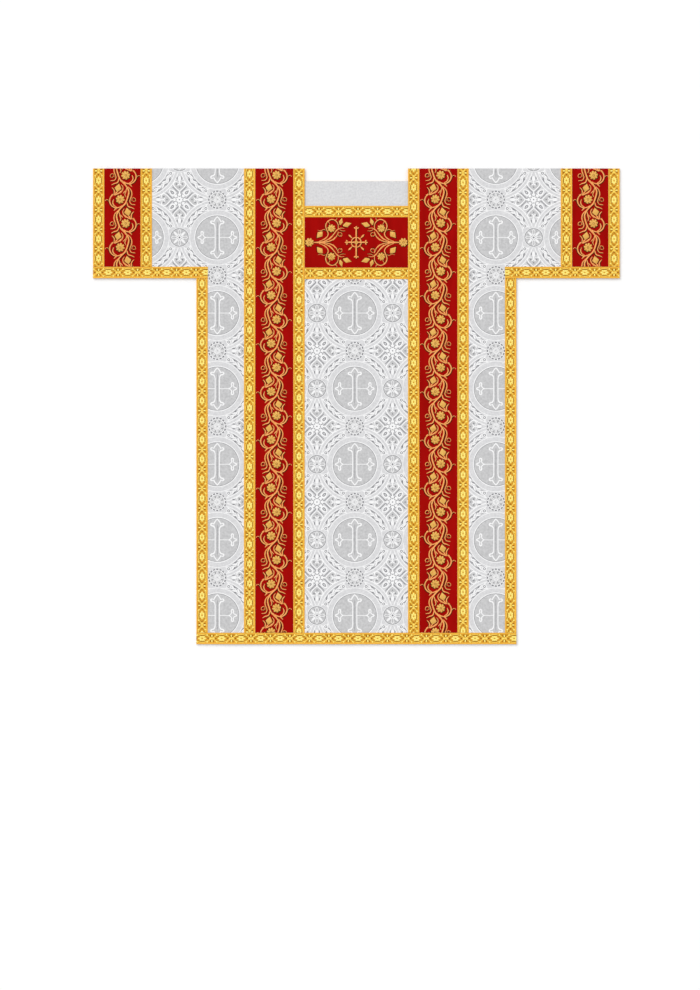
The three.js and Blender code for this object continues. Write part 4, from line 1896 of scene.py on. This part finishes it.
@dataclass(frozen=True)
class Orphreys:
    """The red bands of one face and what is embroidered on them."""

    vine: Vine = Vine()
    chest: ChestPanel = ChestPanel()
    clavus_row: float = 303.55
    sleeve_row: float = 519.4
    sleeve_shift: float = 2.0
    sunk: float = 0.06
    station: float = 18.0

    def bands(self, face: Face) -> dict[str, Rect]:
        """The outline of each red band."""
        g, gap, top = CUT.galloon_width, CUT.rim, CUT.shoulder - CUT.rim
        half = CUT.neck - gap
        outlines = {"cross_band": Rect(-half, half, face.band_foot + gap, face.band_top - gap)}
        inner, outer = CUT.neck + g, CUT.neck + CUT.clavus_width - g
        cuff_inner, cuff_outer = CUT.cuff - CUT.sleeve_band_width + g, CUT.cuff - g
        for side in Side:
            clavus = Rect(inner + gap, outer - gap, CUT.hem + g + gap, top)
            sleeve = Rect(cuff_inner + gap, cuff_outer - gap, CUT.underarm + g + gap, top)
            outlines[f"clavus_{side.word}"] = clavus.on_side(side)
            outlines[f"sleeve_band_{side.word}"] = sleeve.on_side(side)
        return outlines

    def band(self, face: Face, outline: Rect) -> Patch:
        """One red band in its place."""
        foot, thick = face.trim_foot, face.band_thickness
        return face.settled(wall([outline], foot, lambda x, y: foot(x, y) + thick, 0, self.station))

    def stitches(self, face: Face, name: str, outline: Rect) -> Patch:
        """The embroidery of one band in its place."""
        middle = (outline.x0 + outline.x1) / 2
        if name == "cross_band":
            flat = self.chest.work().moved((middle, (outline.y0 + outline.y1) / 2, 0))
        else:
            on_sleeve = name.startswith("sleeve")
            row, shift = (self.sleeve_row, self.sleeve_shift) if on_sleeve else (self.clavus_row, 0.0)
            flat = self.vine.run(outline.y0, outline.y1, row).moved((middle + shift, 0, 0))
        floor, top = face.trim_foot, face.band_thickness - self.sunk
        raised = flat.flattened(face.stitch_share).laid_on(lambda x, y: floor(x, y) + top)
        return face.settled(raised)


# ----------------------------------------------------------------------
# Seams
# ----------------------------------------------------------------------


@dataclass(frozen=True)
class Seams:
    """The cloth folded into the seams that join front and back, seen between their edges."""

    inset: float = 0.5
    width: float = 3.0
    bite: float = 0.12
    station: float = 40.0

    def edges(self) -> list[Rect]:
        """Where the seams run on the right: the shoulder, the underarm and the side."""
        i, w = self.inset, self.width
        return [
            Rect(CUT.neck + 1, CUT.cuff - i, CUT.shoulder - i - w, CUT.shoulder - i),
            Rect(CUT.side - i - w, CUT.cuff - i, CUT.underarm + i, CUT.underarm + i + w),
            Rect(CUT.side - i - w, CUT.side - i, CUT.hem + 1, CUT.underarm + i),
        ]

    def fold(self, side: Side) -> Patch:
        """The seams of one side."""
        under, over = CUT.front_base - CUT.seam_gap - self.bite, CUT.front_base + self.bite
        shoulder, arm, flank = (r.on_side(side) for r in self.edges())
        rows = ([shoulder], [arm, flank])
        return joined(wall(row, level(under), level(over), 0, self.station) for row in rows)


# ----------------------------------------------------------------------
# The garment
# ----------------------------------------------------------------------


@dataclass
class Tunicle:
    """Builds every piece of the garment."""

    maker: Maker
    damask: DamaskPanels = DamaskPanels()
    galloons: Galloons = Galloons()
    orphreys: Orphreys = Orphreys()
    seams: Seams = Seams()

    def panels(self, face: Face) -> Pieces:
        """The damask panels of one face."""
        shapes = {"centre_panel": self.damask.centre(face)}
        for side in Side:
            shapes[f"side_panel_{side.word}"] = self.damask.side(face, side)
        made = {}
        for name, shape in shapes.items():
            node = face.node(name)
            made[name] = self.maker.piece(f"{node}_cloth", shape, DAMASK, "damask_white", [node])
        return made

    def trims(self, face: Face) -> Pieces:
        """The galloons, red bands and embroidery of one face."""
        made = {}
        for trim in self.galloons.lengths(face):
            shape, node = self.galloons.braid(face, trim), face.node(trim.name)
            made[trim.name] = self.maker.piece(f"{node}_braid", shape, GALLOON, "galloon_gold", [node])
        for name, outline in self.orphreys.bands(face).items():
            node = face.node(name)
            band = self.orphreys.band(face, outline)
            made[name] = self.maker.piece(f"{node}_silk", band, ORPHREY, "orphrey_red", [node])
            work = self.orphreys.stitches(face, name, outline)
            made[f"{name}_work"] = self.maker.piece(f"{node}_embroidery", work, EMBROIDERY, "embroidery_gold")
        return made

    def centre_area(self, face: Face) -> float:
        """The flat area of the centre panel, in square millimetres."""
        return CUT.length * 2 * CUT.panel_seam - CUT.neck_width * face.neck_drop

    def side_area(self) -> float:
        """The flat area of a side panel, in square millimetres."""
        body = (CUT.side - CUT.panel_seam) * CUT.length
        return body + (CUT.cuff - CUT.side) * CUT.sleeve_depth

    def declare(self, face: Face, panels: Pieces, trims: Pieces) -> None:
        """Sorts the trims by the panel they lie on and works out each panel's flat area, but does nothing
        with them.
        """
        mine = {name: [] for name in panels}
        for name, piece in trims.items():
            side = next((s for s in Side if f"_{s.word}" in name), None)
            mine["centre_panel" if side is None else f"side_panel_{side.word}"].append(piece)
        for name, piece in panels.items():
            centre = name == "centre_panel"
            area = self.centre_area(face) if centre else self.side_area()

    def build(self) -> None:
        """Makes all the pieces, the back first."""
        for face in (BACK, FRONT):
            panels = self.panels(face)
            trims = self.trims(face)
            self.declare(face, panels, trims)
        for side in Side:
            self.maker.piece(f"seams_{side.word}", self.seams.fold(side), DAMASK[:1], "damask_white")


# ----------------------------------------------------------------------
# The studio
# ----------------------------------------------------------------------


@dataclass(frozen=True)
class Studio:
    """A white table, soft light from the upper left and a camera straight above.

    Sizes are in metres. The key light shines from key_towards, and looks key_angle degrees wide.
    """

    table: float = 30.0
    table_drop: float = 0.0002
    table_rough: float = 0.9
    table_white: Colour = (0.97, 0.97, 0.97)
    lens: float = 100.0
    sensor: float = 36.0
    eye: tuple[float, float, float] = (-0.0143, -0.1994, 6.19)
    sky: float = 0.68
    key_towards: tuple[float, float, float] = (-0.44, 0.52, 0.87)
    key_angle: float = 40.0
    key_strength: float = 1.5

    def floor(self) -> None:
        """The white table."""
        half = self.table / 2
        mesh = bpy.data.meshes.new("table")
        corners = [(-half, -half), (half, -half), (half, half), (-half, half)]
        mesh.from_pydata([(x, y, -self.table_drop) for x, y in corners], [], [(0, 1, 2, 3)])
        shader = Shader("table_white")
        shader.set("Roughness", self.table_rough)
        shader.set("Base Color", self.table_white)
        mesh.materials.append(shader.material)
        table = bpy.data.objects.new("table", mesh)
        bpy.context.scene.collection.objects.link(table)

    def camera(self) -> None:
        """The camera, looking straight down."""
        data = bpy.data.cameras.new("camera")
        data.lens, data.sensor_width = self.lens, self.sensor
        camera = bpy.data.objects.new("camera", data)
        camera.location = self.eye
        bpy.context.scene.collection.objects.link(camera)
        bpy.context.scene.camera = camera

    def light(self) -> None:
        """The key light and the even light all round."""
        world = bpy.data.worlds.new("room")
        world.use_nodes = True
        back = next(n for n in world.node_tree.nodes if n.type == "BACKGROUND")
        back.inputs["Color"].default_value = (1.0, 1.0, 1.0, 1.0)
        back.inputs["Strength"].default_value = self.sky
        bpy.context.scene.world = world
        data = bpy.data.lights.new("key", "SUN")
        data.angle, data.energy = math.radians(self.key_angle), self.key_strength
        key = bpy.data.objects.new("key", data)
        key.rotation_euler = (-Vector(self.key_towards)).to_track_quat("-Z", "Y").to_euler()
        bpy.context.scene.collection.objects.link(key)

    def set_up(self) -> None:
        """Sets the whole studio up."""
        self.floor()
        self.camera()
        self.light()
        bpy.context.scene.view_settings.view_transform = "Standard"


def main() -> None:
    """Builds the studio and the garment, and reports each piece."""
    logging.basicConfig(level=logging.INFO, format="%(name)s: %(message)s")
    Studio().set_up()
    maker = Maker()
    Tunicle(maker).build()
    log.info("whole garment: %d triangles", maker.faces)


if __name__ == "__main__":
    main()
